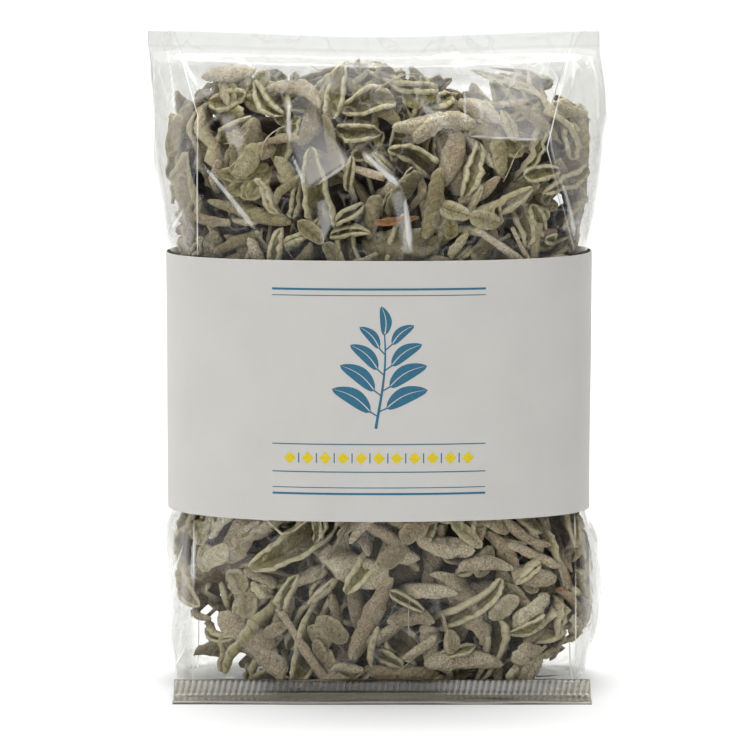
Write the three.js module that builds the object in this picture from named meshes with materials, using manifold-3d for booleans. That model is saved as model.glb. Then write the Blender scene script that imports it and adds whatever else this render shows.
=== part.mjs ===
// A clear side-gusset bag of loose dried sage leaves, standing on its base, with a paper sleeve round it.
// Millimetres, +Z up, the front faces -Y. The origin is on the floor, under the middle of the whole part.
import * as THREE from "three";
import { mergeVertices } from "three/addons/utils/BufferGeometryUtils.js";
import Module from "manifold-3d";

// Driving dimensions of the bag.
const BAG_HEIGHT = 171;
const BODY_HALF_WIDTH = 54.6; // where the sleeve holds the bag
const MOUTH_HALF_WIDTH = 59.4; // across the flattened mouth
const BASE_HALF_WIDTH = 53.3;
const BODY_HALF_DEPTH = 23.3;
const BASE_HALF_DEPTH = 20;
const MOUTH_HALF_DEPTH = 1.2; // two film walls and the slit between them
const FILM = 0.6; // wall of the bag
const BASE_FILM = 0.9; // folded film of the base
const BASE_EDGE = 2.4; // rounding of the base's lower edge
const MOUTH_LIP = 3.4; // height of the flat lip at the mouth
const MOUTH_DIP = 1.5; // how far the lip sags between its corners
const BELLY = 1.9; // how far the sides swell below the sleeve
const SHOULDER = 118; // height where the bag starts to close towards its mouth
const SQUARE = { sleeve: 2.3, base: 4.5, mouth: 3 }; // superellipse exponents of the bag's section

// Driving dimensions of the bottom seal, a crimped flap folded out over the floor in front of the base.
const SEAL_LIP_DEPTH = 7;
const SEAL_THICKNESS = 0.9;
const SEAL_RAMP_DEPTH = 4.5;
const SEAL_RAMP_HEIGHT = 4.6;
const SEAL_LEDGE = 1.6; // level top of the ramp, in front of the base's edge
const SEAL_ROOT = 6; // how far the flap runs back under the base
const RIB_PITCH = 3;
const RIB_HEIGHT = 0.45;
const RIB_SUNK = 0.5; // foot of the ribs inside the ramp

// Driving dimensions of the sleeve.
const SLEEVE_LOW = 46.4;
const SLEEVE_HIGH = 113.9;
const SLEEVE_MIDDLE = (SLEEVE_LOW + SLEEVE_HIGH) / 2;
const PAPER = 0.5;
const SLEEVE_GAP = 0.45; // room between the film and the paper
const LAP_HALF_WIDTH = 9; // glued overlap at the back

// Driving dimensions of the leaves.
const SEED = 25;
const FLAT_LEAVES = 52; // lying on the packed middle of the fill
const RAISED_LEAVES = 54; // standing out of it, towards the film
const TOP_LEAVES = 17;
const BASE_LEAVES = 5;
const TWIGS = 5;
const TRIES = 16; // headings tried for each leaf, of which the least crowded is kept
const FILL_LOW = 6;
const FILL_HIGH = 147;
const FILL_TOP = 163; // the highest tip
const CORE_INSET = 9.5; // from the film to the packed middle of the fill
const ROOT_DEPTH = 2; // how deep a raised leaf's foot is sunk in the packed middle
const TIP_DEPTH = 2.2; // from the film to a raised leaf's tip
const CORE_LOW = 6;
const LEAF_CLEARANCE = 1.1; // from the film's inner face to any leaf
const LEAF_THICKNESS = 0.8;
const LEAF_LENGTHS = [18, 34];
const LEAF_SLIMNESS = [0.3, 0.42]; // width over length
const FOLDS = [0.25, 0.75]; // rise of a leaf's margin over its half width
const BENDS = [-0.175, 0.325]; // bow of a leaf over a quarter of its length
const ROLL = 0.45; // how far a leaf may turn about its own length, either way

const LOOP_POINTS = 36;
const CORE_POINTS = 20;
const GRID = 0.002; // corners are rounded to it
const TAU = 2 * Math.PI;

const wasm = await Module();
wasm.setup();

const clamp = (value, low, high) => Math.min(Math.max(value, low), high);
const mix = (a, b, t) => a + (b - a) * t;
const smooth = (t) => {
  const s = clamp(t, 0, 1);
  return s * s * (3 - 2 * s);
};

// The bag's outer section at height z: half width, half depth and how square its corners are.
function halfWidth(z) {
  if (z >= SLEEVE_HIGH) {
    const up = clamp((z - SLEEVE_HIGH) / (BAG_HEIGHT - SLEEVE_HIGH), 0, 1);
    return mix(BODY_HALF_WIDTH, MOUTH_HALF_WIDTH, 1 - (1 - up) ** 2.2);
  }
  const down = clamp((SLEEVE_LOW - z) / SLEEVE_LOW, 0, 1);
  const swell = BELLY * Math.sin(Math.PI * down ** 0.8);
  return mix(BODY_HALF_WIDTH, BASE_HALF_WIDTH, down) + swell;
}

function halfDepth(z) {
  const close = clamp((z - SHOULDER) / (BAG_HEIGHT - MOUTH_LIP - SHOULDER), 0, 1);
  const upper = mix(MOUTH_HALF_DEPTH, BODY_HALF_DEPTH, (1 - close ** 1.8) ** 0.75);
  const down = clamp((SLEEVE_LOW - z) / SLEEVE_LOW, 0, 1);
  return upper - (BODY_HALF_DEPTH - BASE_HALF_DEPTH) * down ** 2;
}

function squareness(z) {
  const down = smooth((SLEEVE_LOW - z) / SLEEVE_LOW);
  const up = smooth((z - SLEEVE_HIGH) / (SHOULDER + 20 - SLEEVE_HIGH));
  return SQUARE.sleeve + (SQUARE.base - SQUARE.sleeve) * down + (SQUARE.mouth - SQUARE.sleeve) * up;
}

const power = (value, exponent) => Math.sign(value) * Math.abs(value) ** exponent;

// The point of the section at height z and angle a, a distance inset inside the film's outer face.
function bagPoint(z, a, inset) {
  const exponent = 2 / squareness(z);
  const x = (halfWidth(z) - inset) * power(Math.cos(a), exponent);
  const y = (halfDepth(z) - inset) * power(Math.sin(a), exponent);
  return new THREE.Vector3(x, y, z);
}

// A ring of points round the bag, whose mouth dips between its corners.
function bagRing(z, inset, level = z) {
  const ring = [];
  for (let i = 0; i < LOOP_POINTS; i++) {
    const p = bagPoint(z, (i / LOOP_POINTS) * TAU, inset);
    const across = Math.cos((Math.PI / 2) * clamp(p.x / MOUTH_HALF_WIDTH, -1, 1));
    p.z = level - MOUTH_DIP * across ** 2 * smooth((z - SHOULDER) / (BAG_HEIGHT - SHOULDER));
    ring.push(p);
  }
  return ring;
}

// A closed body through rings of points. A ring of one point is a tip, and an end ring is capped.
// With joined, the last ring runs on into the first, as in a tube bent round on itself.
function loft(rings, joined = false) {
  const positions = [];
  const starts = rings.map((ring) => {
    const start = positions.length / 3;
    ring.forEach((p) => positions.push(p.x, p.y, p.z));
    return start;
  });
  const faces = [];
  const band = (a, b) => {
    const [na, nb] = [rings[a].length, rings[b].length];
    for (let i = 0; i < Math.max(na, nb); i++) {
      const j = i + 1;
      const [a0, a1] = [starts[a] + (i % na), starts[a] + (j % na)];
      const [b0, b1] = [starts[b] + (i % nb), starts[b] + (j % nb)];
      if (na > 1) faces.push(a0, a1, nb > 1 ? b1 : b0);
      if (nb > 1) faces.push(a0, b1, b0);
    }
  };
  const cap = (k, turned) => {
    const ring = rings[k];
    if (ring.length < 3) return;
    const middle = ring.reduce((sum, p) => sum.add(p), new THREE.Vector3()).divideScalar(ring.length);
    const centre = positions.length / 3;
    positions.push(middle.x, middle.y, middle.z);
    for (let i = 0; i < ring.length; i++) {
      const [p, q] = [starts[k] + i, starts[k] + ((i + 1) % ring.length)];
      if (turned) faces.push(centre, q, p);
      else faces.push(centre, p, q);
    }
  };
  for (let k = 0; k + 1 < rings.length; k++) band(k, k + 1);
  if (joined) band(rings.length - 1, 0);
  else {
    cap(0, true);
    cap(rings.length - 1, false);
  }
  const geometry = new THREE.BufferGeometry();
  geometry.setAttribute("position", new THREE.Float32BufferAttribute(positions, 3));
  geometry.setIndex(faces);
  return geometry;
}

// A closed mesh made into a solid that can be joined and cut, and such a solid made back into a mesh.
function solidOf(geometry) {
  const bare = new THREE.BufferGeometry();
  bare.setAttribute("position", geometry.getAttribute("position"));
  bare.setIndex(geometry.index);
  const merged = mergeVertices(bare, 1e-4);
  return new wasm.Manifold(
    new wasm.Mesh({
      numProp: 3,
      vertProperties: merged.attributes.position.array,
      triVerts: new Uint32Array(merged.index.array),
    }),
  );
}

function geometryOf(solid) {
  const mesh = solid.getMesh();
  const geometry = new THREE.BufferGeometry();
  geometry.setAttribute("position", new THREE.BufferAttribute(mesh.vertProperties, 3));
  geometry.setIndex(new THREE.BufferAttribute(mesh.triVerts, 1));
  geometry.computeVertexNormals();
  return geometry;
}

// The solid with its corners rounded to a fine grid, so that no two of them almost meet.
function rounded(solid) {
  const geometry = geometryOf(solid);
  const corners = geometry.getAttribute("position").array;
  for (let i = 0; i < corners.length; i++) corners[i] = Math.round(corners[i] / GRID) * GRID;
  return solidOf(geometry);
}

// The largest connected body of a solid: a loose scrap is dropped.
function mainBody(solid) {
  const bodies = rounded(solid).decompose();
  bodies.sort((a, b) => b.volume() - a.volume());
  return bodies[0];
}

// The film's outer form, and the space in it, which runs out through the slit of the mouth.
const LIP_FOOT = BAG_HEIGHT - MOUTH_LIP;
const FILM_HEIGHTS = [3, 12, 24, 36, 46, 80, 114, 122, 130, 138, 146, 153, 159, 163.5, LIP_FOOT];

function bagOutside() {
  const foot = [bagRing(0, BASE_EDGE), bagRing(0.9, 0.5)];
  return solidOf(loft([...foot, ...FILM_HEIGHTS.map((z) => bagRing(z, 0)), bagRing(BAG_HEIGHT, 0)]));
}

function bagInside() {
  const foot = [bagRing(BASE_FILM, BASE_EDGE + 0.4), bagRing(2.2, BASE_FILM)];
  const over = bagRing(BAG_HEIGHT, FILM, BAG_HEIGHT + 3);
  return solidOf(loft([...foot, ...FILM_HEIGHTS.map((z) => bagRing(z, FILM)), over]));
}

// The seal's flap: a flat lip on the floor and a ramp of crimped ribs that climbs the bag's front.
function sealFlap() {
  const front = -BASE_HALF_DEPTH;
  const ramp = front - SEAL_RAMP_DEPTH;
  const profile = new THREE.Shape();
  profile.moveTo(ramp - SEAL_LIP_DEPTH, 0);
  profile.lineTo(front + SEAL_ROOT, 0);
  profile.lineTo(front + SEAL_ROOT, SEAL_THICKNESS);
  profile.lineTo(front + 2.2, SEAL_RAMP_HEIGHT);
  profile.lineTo(front - SEAL_LEDGE, SEAL_RAMP_HEIGHT);
  profile.lineTo(ramp, SEAL_THICKNESS + 0.2);
  profile.lineTo(ramp - SEAL_LIP_DEPTH, SEAL_THICKNESS);
  const strip = new THREE.ExtrudeGeometry(profile, { depth: 2 * BASE_HALF_WIDTH, bevelEnabled: false });
  // The shape's x is the bag's y, and its y the bag's z.
  const turn = new THREE.Matrix4().makeBasis(
    new THREE.Vector3(0, 1, 0),
    new THREE.Vector3(0, 0, 1),
    new THREE.Vector3(1, 0, 0),
  );
  strip.applyMatrix4(turn).translate(-BASE_HALF_WIDTH, 0, 0);
  strip.deleteAttribute("normal");
  strip.deleteAttribute("uv");
  return solidOf(mergeVertices(strip, 1e-4)).add(ribs(front, ramp));
}

// Crimped ribs on the ramp: one zigzag plate whose teeth run up the slope.
function ribs(front, ramp) {
  const low = new THREE.Vector3(0, ramp, SEAL_THICKNESS + 0.2);
  const high = new THREE.Vector3(0, front - SEAL_LEDGE, SEAL_RAMP_HEIGHT);
  const slope = high.clone().sub(low);
  const out = new THREE.Vector3(0, -slope.z, slope.y).normalize();
  const teeth = Math.floor((2 * BASE_HALF_WIDTH - 4) / RIB_PITCH);
  const section = (along) => {
    const ring = [];
    const start = (-teeth * RIB_PITCH) / 2;
    const foot = low.clone().addScaledVector(slope, along);
    const at = (x, lift) => foot.clone().addScaledVector(out, lift).setX(x);
    for (let i = 0; i <= teeth; i++) {
      ring.push(at(start + i * RIB_PITCH, 0.05));
      if (i < teeth) ring.push(at(start + (i + 0.5) * RIB_PITCH, RIB_HEIGHT));
    }
    ring.push(at(-start, -RIB_SUNK), at(start, -RIB_SUNK));
    return ring;
  };
  return solidOf(loft([section(0.06), section(0.94)]));
}

function bagFilm() {
  return mainBody(bagOutside().add(sealFlap()).subtract(bagInside()));
}

// The sleeve: a paper tube round the film, with its glued overlap at the middle of the back.
const LAP_LOW = PAPER * 0.5; // how far the overlap lies outside the paper's inner face
const LAP_HIGH = PAPER * 1.9;
const LAP_STEPS = 6;

function paperSleeve() {
  const at = (z, a, outset) => bagPoint(SLEEVE_MIDDLE, a, -(SLEEVE_GAP + outset)).setZ(z);
  const turns = Array.from({ length: LOOP_POINTS }, (_, i) => (i / LOOP_POINTS) * TAU);
  const ring = (z, outset) => turns.map((a) => at(z, a, outset));
  const tube = loft(
    [ring(SLEEVE_LOW, 0), ring(SLEEVE_LOW, PAPER), ring(SLEEVE_HIGH, PAPER), ring(SLEEVE_HIGH, 0)],
    true,
  );
  const lap = [SLEEVE_LOW, SLEEVE_HIGH].map((z) => {
    const span = (LAP_HALF_WIDTH / BODY_HALF_WIDTH) * 1.05;
    const steps = Array.from({ length: LAP_STEPS + 1 }, (_, i) => i / LAP_STEPS);
    const angles = steps.map((t) => Math.PI / 2 + mix(span, -span, t));
    const inner = angles.map((a) => at(z, a, LAP_LOW));
    const outer = angles.map((a) => at(z, a, LAP_HIGH));
    return [...inner, ...outer.reverse()];
  });
  return mainBody(solidOf(tube).add(solidOf(loft(lap))));
}

// A repeatable random number from 0 to 1.
let drawState = SEED;
function draw() {
  drawState = (Math.imul(drawState, 1664525) + 1013904223) >>> 0;
  return drawState / 4294967296;
}
const between = ([low, high]) => mix(low, high, draw());

// The angle of the section that lies a share u of the way round it, by length.
const ARC_STEPS = 360;
const arcAngles = (() => {
  const lengths = [0];
  let last = bagPoint(SLEEVE_MIDDLE, 0, 0);
  for (let i = 1; i <= ARC_STEPS; i++) {
    const next = bagPoint(SLEEVE_MIDDLE, (i / ARC_STEPS) * TAU, 0);
    lengths.push(lengths[i - 1] + next.distanceTo(last));
    last = next;
  }
  return lengths.map((length) => length / lengths[ARC_STEPS]);
})();
function angleAt(u) {
  let i = 1;
  while (i < ARC_STEPS && arcAngles[i] < u) i++;
  const t = (u - arcAngles[i - 1]) / (arcAngles[i] - arcAngles[i - 1]);
  return ((i - 1 + t) / ARC_STEPS) * TAU;
}

// Keeps a leaf's point inside the film, by pulling it towards the bag's middle line.
function keepInside(p) {
  p.z = clamp(p.z, BASE_FILM + LEAF_CLEARANCE, FILL_TOP);
  const level = p.z + MOUTH_DIP * smooth((p.z - SHOULDER) / (BAG_HEIGHT - SHOULDER));
  const n = squareness(level);
  const inset = FILM + LEAF_CLEARANCE + 2 * smooth(1 - p.z / 8);
  const x = Math.abs(p.x) / (halfWidth(level) - inset);
  const y = Math.abs(p.y) / Math.max(halfDepth(level) - inset, 0.8);
  const reach = (x ** n + y ** n) ** (1 / n);
  if (reach > 1) {
    p.x /= reach;
    p.y /= reach;
  }
  return p;
}

// A dried sage leaf: a lance-shaped blade folded along its rib, its ends bent back.
// It is centred on anchor, runs along heading, and its outer face looks along face.
const LEAF_STATIONS = [
  { along: 0, width: 0 },
  { along: 0.14, width: 0.72 },
  { along: 0.48, width: 1 },
  { along: 0.86, width: 0.62 },
  { along: 1, width: 0 },
];
function leafBlade(leaf) {
  const { anchor, heading, face, length, width, fold, bend, lift } = leaf;
  const side = new THREE.Vector3().crossVectors(face, heading).normalize();
  const rings = LEAF_STATIONS.map(({ along, width: share }) => {
    const t = along - 0.5;
    const spine = anchor
      .clone()
      .addScaledVector(heading, t * length)
      .addScaledVector(face, lift * t + bend * length * (0.25 - t * t));
    if (share === 0) return [keepInside(spine)];
    const half = (width / 2) * share;
    const point = (across, up) =>
      keepInside(spine.clone().addScaledVector(side, across * half).addScaledVector(face, up));
    const rise = fold * half;
    return [
      point(-1, rise - LEAF_THICKNESS / 2),
      point(0, -LEAF_THICKNESS / 2),
      point(1, rise - LEAF_THICKNESS / 2),
      point(1, rise + LEAF_THICKNESS / 2),
      point(0, LEAF_THICKNESS / 2),
      point(-1, rise + LEAF_THICKNESS / 2),
    ];
  });
  return solidOf(loft(rings));
}

// The outward normal, the way round and the way up of the bag's wall at height z and angle a.
function wallFrame(z, a) {
  const step = 0.01;
  const round = bagPoint(z, a + step, 0).sub(bagPoint(z, a - step, 0)).setZ(0).normalize();
  const out = new THREE.Vector3(round.y, -round.x, 0);
  return { round, out, up: new THREE.Vector3(0, 0, 1) };
}

// The point of a leaf's middle line at a share t of its length from its middle.
function leafPoint({ anchor, heading, face, length, lift }, t) {
  return anchor.clone().addScaledVector(heading, t * length).addScaledVector(face, t * lift);
}

// About how far a point lies outside the packed middle of the fill.
function outsideCore(p) {
  const n = squareness(p.z);
  const x = Math.abs(p.x) / (halfWidth(p.z) - CORE_INSET);
  const y = Math.abs(p.y) / Math.max(halfDepth(p.z) - CORE_INSET, 1);
  const beside = Math.max(0, (x ** n + y ** n) ** (1 / n) - 1) * BODY_HALF_DEPTH;
  return beside + Math.max(0, CORE_LOW + 3 - p.z, p.z - FILL_HIGH);
}

// How badly a leaf would lie: over leaves that are already placed, or with its foot out of the packed middle.
const CROWD_STEPS = [-0.35, 0, 0.35]; // places along a leaf that are compared
const FOOT = -0.43;
const ROOT_WEIGHT = 5;
const ROOT_SLACK = 2;
const placed = [];
function spots(leaf) {
  return CROWD_STEPS.map((t) => ({ at: leafPoint(leaf, t), reach: leaf.width * 0.55 }));
}
function crowding(leaf) {
  let sum = ROOT_WEIGHT * Math.max(0, outsideCore(leafPoint(leaf, FOOT)) - ROOT_SLACK);
  for (const mine of spots(leaf)) {
    for (const other of placed) sum += Math.max(0, mine.reach + other.reach - mine.at.distanceTo(other.at));
  }
  return sum;
}

// Draws a leaf's own shape, then the least crowded of a few headings for it, spread about up.
// Its foot lies lift deeper than its tip.
function drawLeaf(anchor, across, up, out, lift, spread) {
  const length = between(LEAF_LENGTHS);
  const width = length * between(LEAF_SLIMNESS);
  const fold = between(FOLDS) * (draw() < 0.5 ? 1 : -1);
  const bend = between(BENDS);
  let best = null;
  for (let i = 0; i < TRIES; i++) {
    const turn = Math.PI / 2 + (draw() - 0.5) * spread;
    const roll = (2 * draw() - 1) * ROLL;
    const heading = across.clone().multiplyScalar(Math.cos(turn)).addScaledVector(up, Math.sin(turn));
    const side = new THREE.Vector3().crossVectors(out, heading);
    const face = out.clone().multiplyScalar(Math.cos(roll)).addScaledVector(side, Math.sin(roll));
    const level = Math.min(anchor.z, FILL_TOP - (Math.abs(heading.z) * length) / 2);
    const leaf = { anchor: anchor.clone().setZ(level), heading, face, length, width, fold, bend, lift };
    const crowd = crowding(leaf);
    if (!best || crowd < best.crowd) best = { leaf, crowd };
  }
  placed.push(...spots(best.leaf));
  return best.leaf;
}

// Leaves round the sides, spread evenly by two irrational steps. The height that the sleeve hides has none.
const STEP_ROUND = 0.7548776662;
const STEP_UP = 0.569840291;
const HIDDEN_LOW = SLEEVE_LOW + 7;
const HIDDEN_HIGH = SLEEVE_HIGH - 7;
const TOP_SPREAD = 2.6; // angle over which the leaves of the top fan out
const TOP_LIFT = 3;

function sideLeaves(count, start, footDepth, tipDepth) {
  const shown = FILL_HIGH - FILL_LOW - (HIDDEN_HIGH - HIDDEN_LOW);
  return Array.from({ length: count }, (_, i) => {
    const a = angleAt((start + i * STEP_ROUND) % 1);
    let z = FILL_LOW + ((start + i * STEP_UP) % 1) * shown;
    if (z > HIDDEN_LOW) z += HIDDEN_HIGH - HIDDEN_LOW;
    const { round, out, up } = wallFrame(z, a);
    return drawLeaf(bagPoint(z, a, (footDepth + tipDepth) / 2), round, up, out, footDepth - tipDepth, TAU);
  });
}

// Leaves that stand out of the top of the fill, in a row on each side of its ridge.
function topLeaves() {
  return Array.from({ length: TOP_LEAVES }, (_, i) => {
    const side = i % 2 ? 1 : -1;
    const x = (2 * ((i + 0.5) / TOP_LEAVES) - 1) * (MOUTH_HALF_WIDTH - 12);
    const anchor = new THREE.Vector3(x, side * mix(3, 6, draw()), FILL_HIGH + mix(-4, 5, draw()));
    const across = new THREE.Vector3(-side, 0, 0);
    const out = new THREE.Vector3(0, side, 0);
    return drawLeaf(anchor, across, new THREE.Vector3(0, 0, 1), out, TOP_LIFT, TOP_SPREAD);
  });
}

// Leaves pressed against the base.
function baseLeaves() {
  return Array.from({ length: BASE_LEAVES }, (_, i) => {
    const x = (2 * ((0.5 + i * STEP_ROUND) % 1) - 1) * (BASE_HALF_WIDTH - 18);
    const y = (2 * ((0.5 + i * STEP_UP) % 1) - 1) * (BASE_HALF_DEPTH - 10);
    const [across, back] = [new THREE.Vector3(1, 0, 0), new THREE.Vector3(0, 1, 0)];
    const down = new THREE.Vector3(0, 0, -1);
    return drawLeaf(new THREE.Vector3(x, y, CORE_LOW + 1), across, back, down, CORE_LOW, TAU);
  });
}

// Bare twigs among the leaves, by turns below and above the sleeve.
const TWIG_LENGTHS = [20, 34];
const TWIG_RADII = [0.8, 1.3];
const TWIG_TILT = 7; // how much deeper its one end lies than the other
const TWIG_SIDES = 5;

function twig(i) {
  const a = angleAt((0.21 + i * STEP_ROUND) % 1);
  const z = between(i % 2 ? [FILL_LOW + 6, SLEEVE_LOW - 4] : [SLEEVE_HIGH + 4, FILL_HIGH - 4]);
  const { round, out, up } = wallFrame(z, a);
  const turn = draw() * TAU;
  const heading = round.multiplyScalar(Math.cos(turn)).addScaledVector(up, Math.sin(turn));
  const side = new THREE.Vector3().crossVectors(out, heading);
  const [length, radius] = [between(TWIG_LENGTHS), between(TWIG_RADII)];
  const anchor = bagPoint(z, a, CORE_INSET * 0.7);
  const rings = [-0.5, 0.5].map((t) => {
    const middle = anchor.clone().addScaledVector(heading, t * length).addScaledVector(out, -t * TWIG_TILT);
    return Array.from({ length: TWIG_SIDES }, (_, k) => {
      const b = (k / TWIG_SIDES) * TAU;
      const corner = middle.clone().addScaledVector(side, -radius * Math.sin(b));
      return keepInside(corner.addScaledVector(out, radius * Math.cos(b)));
    });
  });
  return solidOf(loft(rings));
}

// The packed middle of the fill, which every leaf and twig is rooted in. Its ends are drawn in a little.
const CORE_RINGS = [
  { z: CORE_LOW, drawn: 4 },
  { z: 14, drawn: 0 },
  { z: 46, drawn: 0 },
  { z: 114, drawn: 0 },
  { z: 132, drawn: 0 },
  { z: 144, drawn: 4 },
  { z: FILL_HIGH + 4, drawn: 15 },
];

function fillCore() {
  const rings = CORE_RINGS.map(({ z, drawn }) => {
    const [w, d] = [halfWidth(z), halfDepth(z)];
    const [across, deep] = [w - CORE_INSET - drawn, d - CORE_INSET - Math.min(drawn, 2)];
    return Array.from({ length: CORE_POINTS }, (_, k) => {
      const p = bagPoint(z, (k / CORE_POINTS) * TAU, 0);
      return p.set((p.x * across) / w, (p.y * deep) / d, z);
    });
  });
  return solidOf(loft(rings));
}

function sageLeaves() {
  const leaves = [
    ...sideLeaves(FLAT_LEAVES, 0.5, CORE_INSET + ROOT_DEPTH, CORE_INSET - 4),
    ...sideLeaves(RAISED_LEAVES, 0.93, CORE_INSET + ROOT_DEPTH, TIP_DEPTH),
    ...topLeaves(),
    ...baseLeaves(),
  ];
  const twigs = Array.from({ length: TWIGS }, (_, i) => twig(i));
  return mainBody(wasm.Manifold.union([fillCore(), ...leaves.map(leafBlade), ...twigs]));
}

// The materials and the finished part.
const filmFinish = new THREE.MeshStandardMaterial({
  color: 0xf1f2ef,
  roughness: 0.08,
  metalness: 0,
  transparent: true,
  opacity: 0.28,
});
const paperFinish = new THREE.MeshStandardMaterial({ color: 0xd6d4cd, roughness: 0.85, metalness: 0 });
const sageFinish = new THREE.MeshStandardMaterial({ color: 0x9b9780, roughness: 0.95, metalness: 0 });

function piece(name, solid, material) {
  const mesh = new THREE.Mesh(geometryOf(solid), material);
  mesh.name = name;
  return mesh;
}

const part = new THREE.Group();
// The flap reaches further forward than the sleeve's overlap does back, so the bag stands behind the origin.
const frontReach = BASE_HALF_DEPTH + SEAL_RAMP_DEPTH + SEAL_LIP_DEPTH;
const backReach = BODY_HALF_DEPTH + SLEEVE_GAP + LAP_HIGH;
part.position.y = (frontReach - backReach) / 2;
part.add(
  piece("bag_film", bagFilm(), filmFinish),
  piece("paper_sleeve", paperSleeve(), paperFinish),
  piece("sage_leaves", sageLeaves(), sageFinish),
);

export default part;
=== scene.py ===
"""The looks of a clear film bag of dried sage leaves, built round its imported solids.

Shapes are worked out in millimetres in the bag's own frame, +Z up and its front towards -Y, and are written in
metres. Every leaf lies in the unrolled wall of the bag: a place round it, a height and a depth inside the film.
"""

import math

import bpy
import numpy as np
from bpy.props import FloatProperty, FloatVectorProperty, IntProperty, PointerProperty
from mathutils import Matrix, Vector
from mathutils.geometry import delaunay_2d_cdt


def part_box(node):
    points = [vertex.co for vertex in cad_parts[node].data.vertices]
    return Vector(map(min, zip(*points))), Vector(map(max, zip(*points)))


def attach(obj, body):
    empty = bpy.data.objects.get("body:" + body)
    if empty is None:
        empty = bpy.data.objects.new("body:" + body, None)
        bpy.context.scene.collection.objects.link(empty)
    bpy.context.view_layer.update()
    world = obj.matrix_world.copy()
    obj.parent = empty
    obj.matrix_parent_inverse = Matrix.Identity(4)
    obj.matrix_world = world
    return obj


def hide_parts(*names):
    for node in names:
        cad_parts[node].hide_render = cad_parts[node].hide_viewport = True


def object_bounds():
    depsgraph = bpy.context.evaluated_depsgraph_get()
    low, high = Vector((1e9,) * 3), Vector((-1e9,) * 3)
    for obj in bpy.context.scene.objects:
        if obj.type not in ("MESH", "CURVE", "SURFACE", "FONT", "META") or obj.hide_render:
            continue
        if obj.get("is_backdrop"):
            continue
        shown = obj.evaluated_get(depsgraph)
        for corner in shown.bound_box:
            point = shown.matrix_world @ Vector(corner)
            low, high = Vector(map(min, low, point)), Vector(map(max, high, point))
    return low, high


bl_info = {
    "name": "Bag of dried sage leaves",
    "version": (1, 0, 0),
    "blender": (4, 5, 0),
    "location": "View3D > Sidebar > Sage bag",
    "description": "Builds a clear film bag of dried sage leaves with a paper sleeve round it",
    "category": "Add Mesh",
}

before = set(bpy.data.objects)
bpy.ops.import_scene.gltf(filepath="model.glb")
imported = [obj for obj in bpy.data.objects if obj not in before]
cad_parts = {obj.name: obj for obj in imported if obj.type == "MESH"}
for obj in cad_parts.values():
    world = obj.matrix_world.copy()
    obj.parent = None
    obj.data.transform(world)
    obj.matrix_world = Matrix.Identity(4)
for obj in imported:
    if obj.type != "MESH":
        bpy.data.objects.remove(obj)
CAD_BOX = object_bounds()

MM = 0.001
TAU = 2 * math.pi


def node_box(node):
    """The lowest and highest corner of a solid of the frame, in mm."""
    low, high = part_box(node)
    return np.array(low) / MM, np.array(high) / MM


FILM_HIGH = node_box("bag_film")[1]
SLEEVE_BOX_LOW, SLEEVE_BOX_HIGH = node_box("paper_sleeve")

# The bag's own sizes, of which the first few are the frame's.
BAG_HEIGHT = FILM_HIGH[2]
MOUTH_HALF_WIDTH = FILM_HIGH[0]
SLEEVE_LOW = SLEEVE_BOX_LOW[2]
SLEEVE_HIGH = SLEEVE_BOX_HIGH[2]
SLEEVE_MIDDLE = (SLEEVE_LOW + SLEEVE_HIGH) / 2
PAPER_REACH = 0.95  # from the film to the sleeve's outer face
BODY_HALF_WIDTH = SLEEVE_BOX_HIGH[0] - PAPER_REACH
BODY_HALF_DEPTH = 23.3
BASE_HALF_WIDTH = 53.3
BASE_HALF_DEPTH = 20
MOUTH_HALF_DEPTH = 1.2
BASE_EDGE = 2.4
MOUTH_LIP = 3.4
MOUTH_DIP = 1.5
BELLY, BELLY_POWER = 1.9, 0.8  # how far the sides bow out below the sleeve
SHOULDER = 118  # height from which the bag closes to its mouth
WIDENING = 2.2  # power of the widening to the mouth
CLOSING = (1.8, 0.75)  # powers of the depth's fall to the mouth
SQUARE_SLEEVE, SQUARE_BASE, SQUARE_MOUTH = 2.3, 4.5, 3.0
# The bag's middle plane stands behind the origin, because the seal's flap reaches forward.
BACK_SHIFT = SLEEVE_BOX_LOW[1] + BODY_HALF_DEPTH + PAPER_REACH


# ------------ sizes and colours that a user may change


def length_property(name, about, value):
    return FloatProperty(name=name, description=about, default=value * MM, unit="LENGTH", subtype="DISTANCE")


def number_property(name, about, value):
    return FloatProperty(name=name, description=about, default=value)


def share_property(name, about, value, high=1.0):
    return FloatProperty(name=name, description=about, default=value, min=0, max=high, subtype="FACTOR")


def colour_property(name, about, value):
    return FloatVectorProperty(name=name, description=about, default=value, size=3, min=0, max=1, subtype="COLOR")


class SageFilmSettings(bpy.types.PropertyGroup):
    """The clear film bag."""

    seed: IntProperty(name="Crease seed", description="Draws another set of creases", default=7)
    column: length_property("Mesh width", "Between the mesh's upright lines", 0.58)
    row: length_property("Mesh height", "Between the mesh's level lines", 0.58)
    facet_lift: length_property("Facet lift", "How far flat facets stand in or out", 0.62)
    crease_lift: length_property("Crease lift", "Height of the sharp creases", 0.55)
    creases: IntProperty(name="Creases", description="Number of sharp creases", default=70, min=0)
    gloss: share_property("Roughness", "Roughness of the film", 0.075)
    mirror: share_property("Reflection", "Light that it reflects straight on", 0.017)
    haze: share_property("Haze", "How milky the plain film is", 0.006)
    side_haze: share_property("Side haze", "How milky the folded sides are", 0.27)
    tint: colour_property("Tint", "Colour of the film's haze", (0.62, 0.605, 0.57))
    # The crease marks' colour is also that of the painted reflections and highlights on the film.
    mark: colour_property("Crease marks", "Colour of the film's creases", (0.9, 0.9, 0.89))
    crimped: colour_property("Crimped clearness", "Light that the crimped layers let through", (0.55, 0.52, 0.425))
    clear: colour_property("Clearness", "Light that one layer of film lets through", (0.88, 0.886, 0.873))


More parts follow.
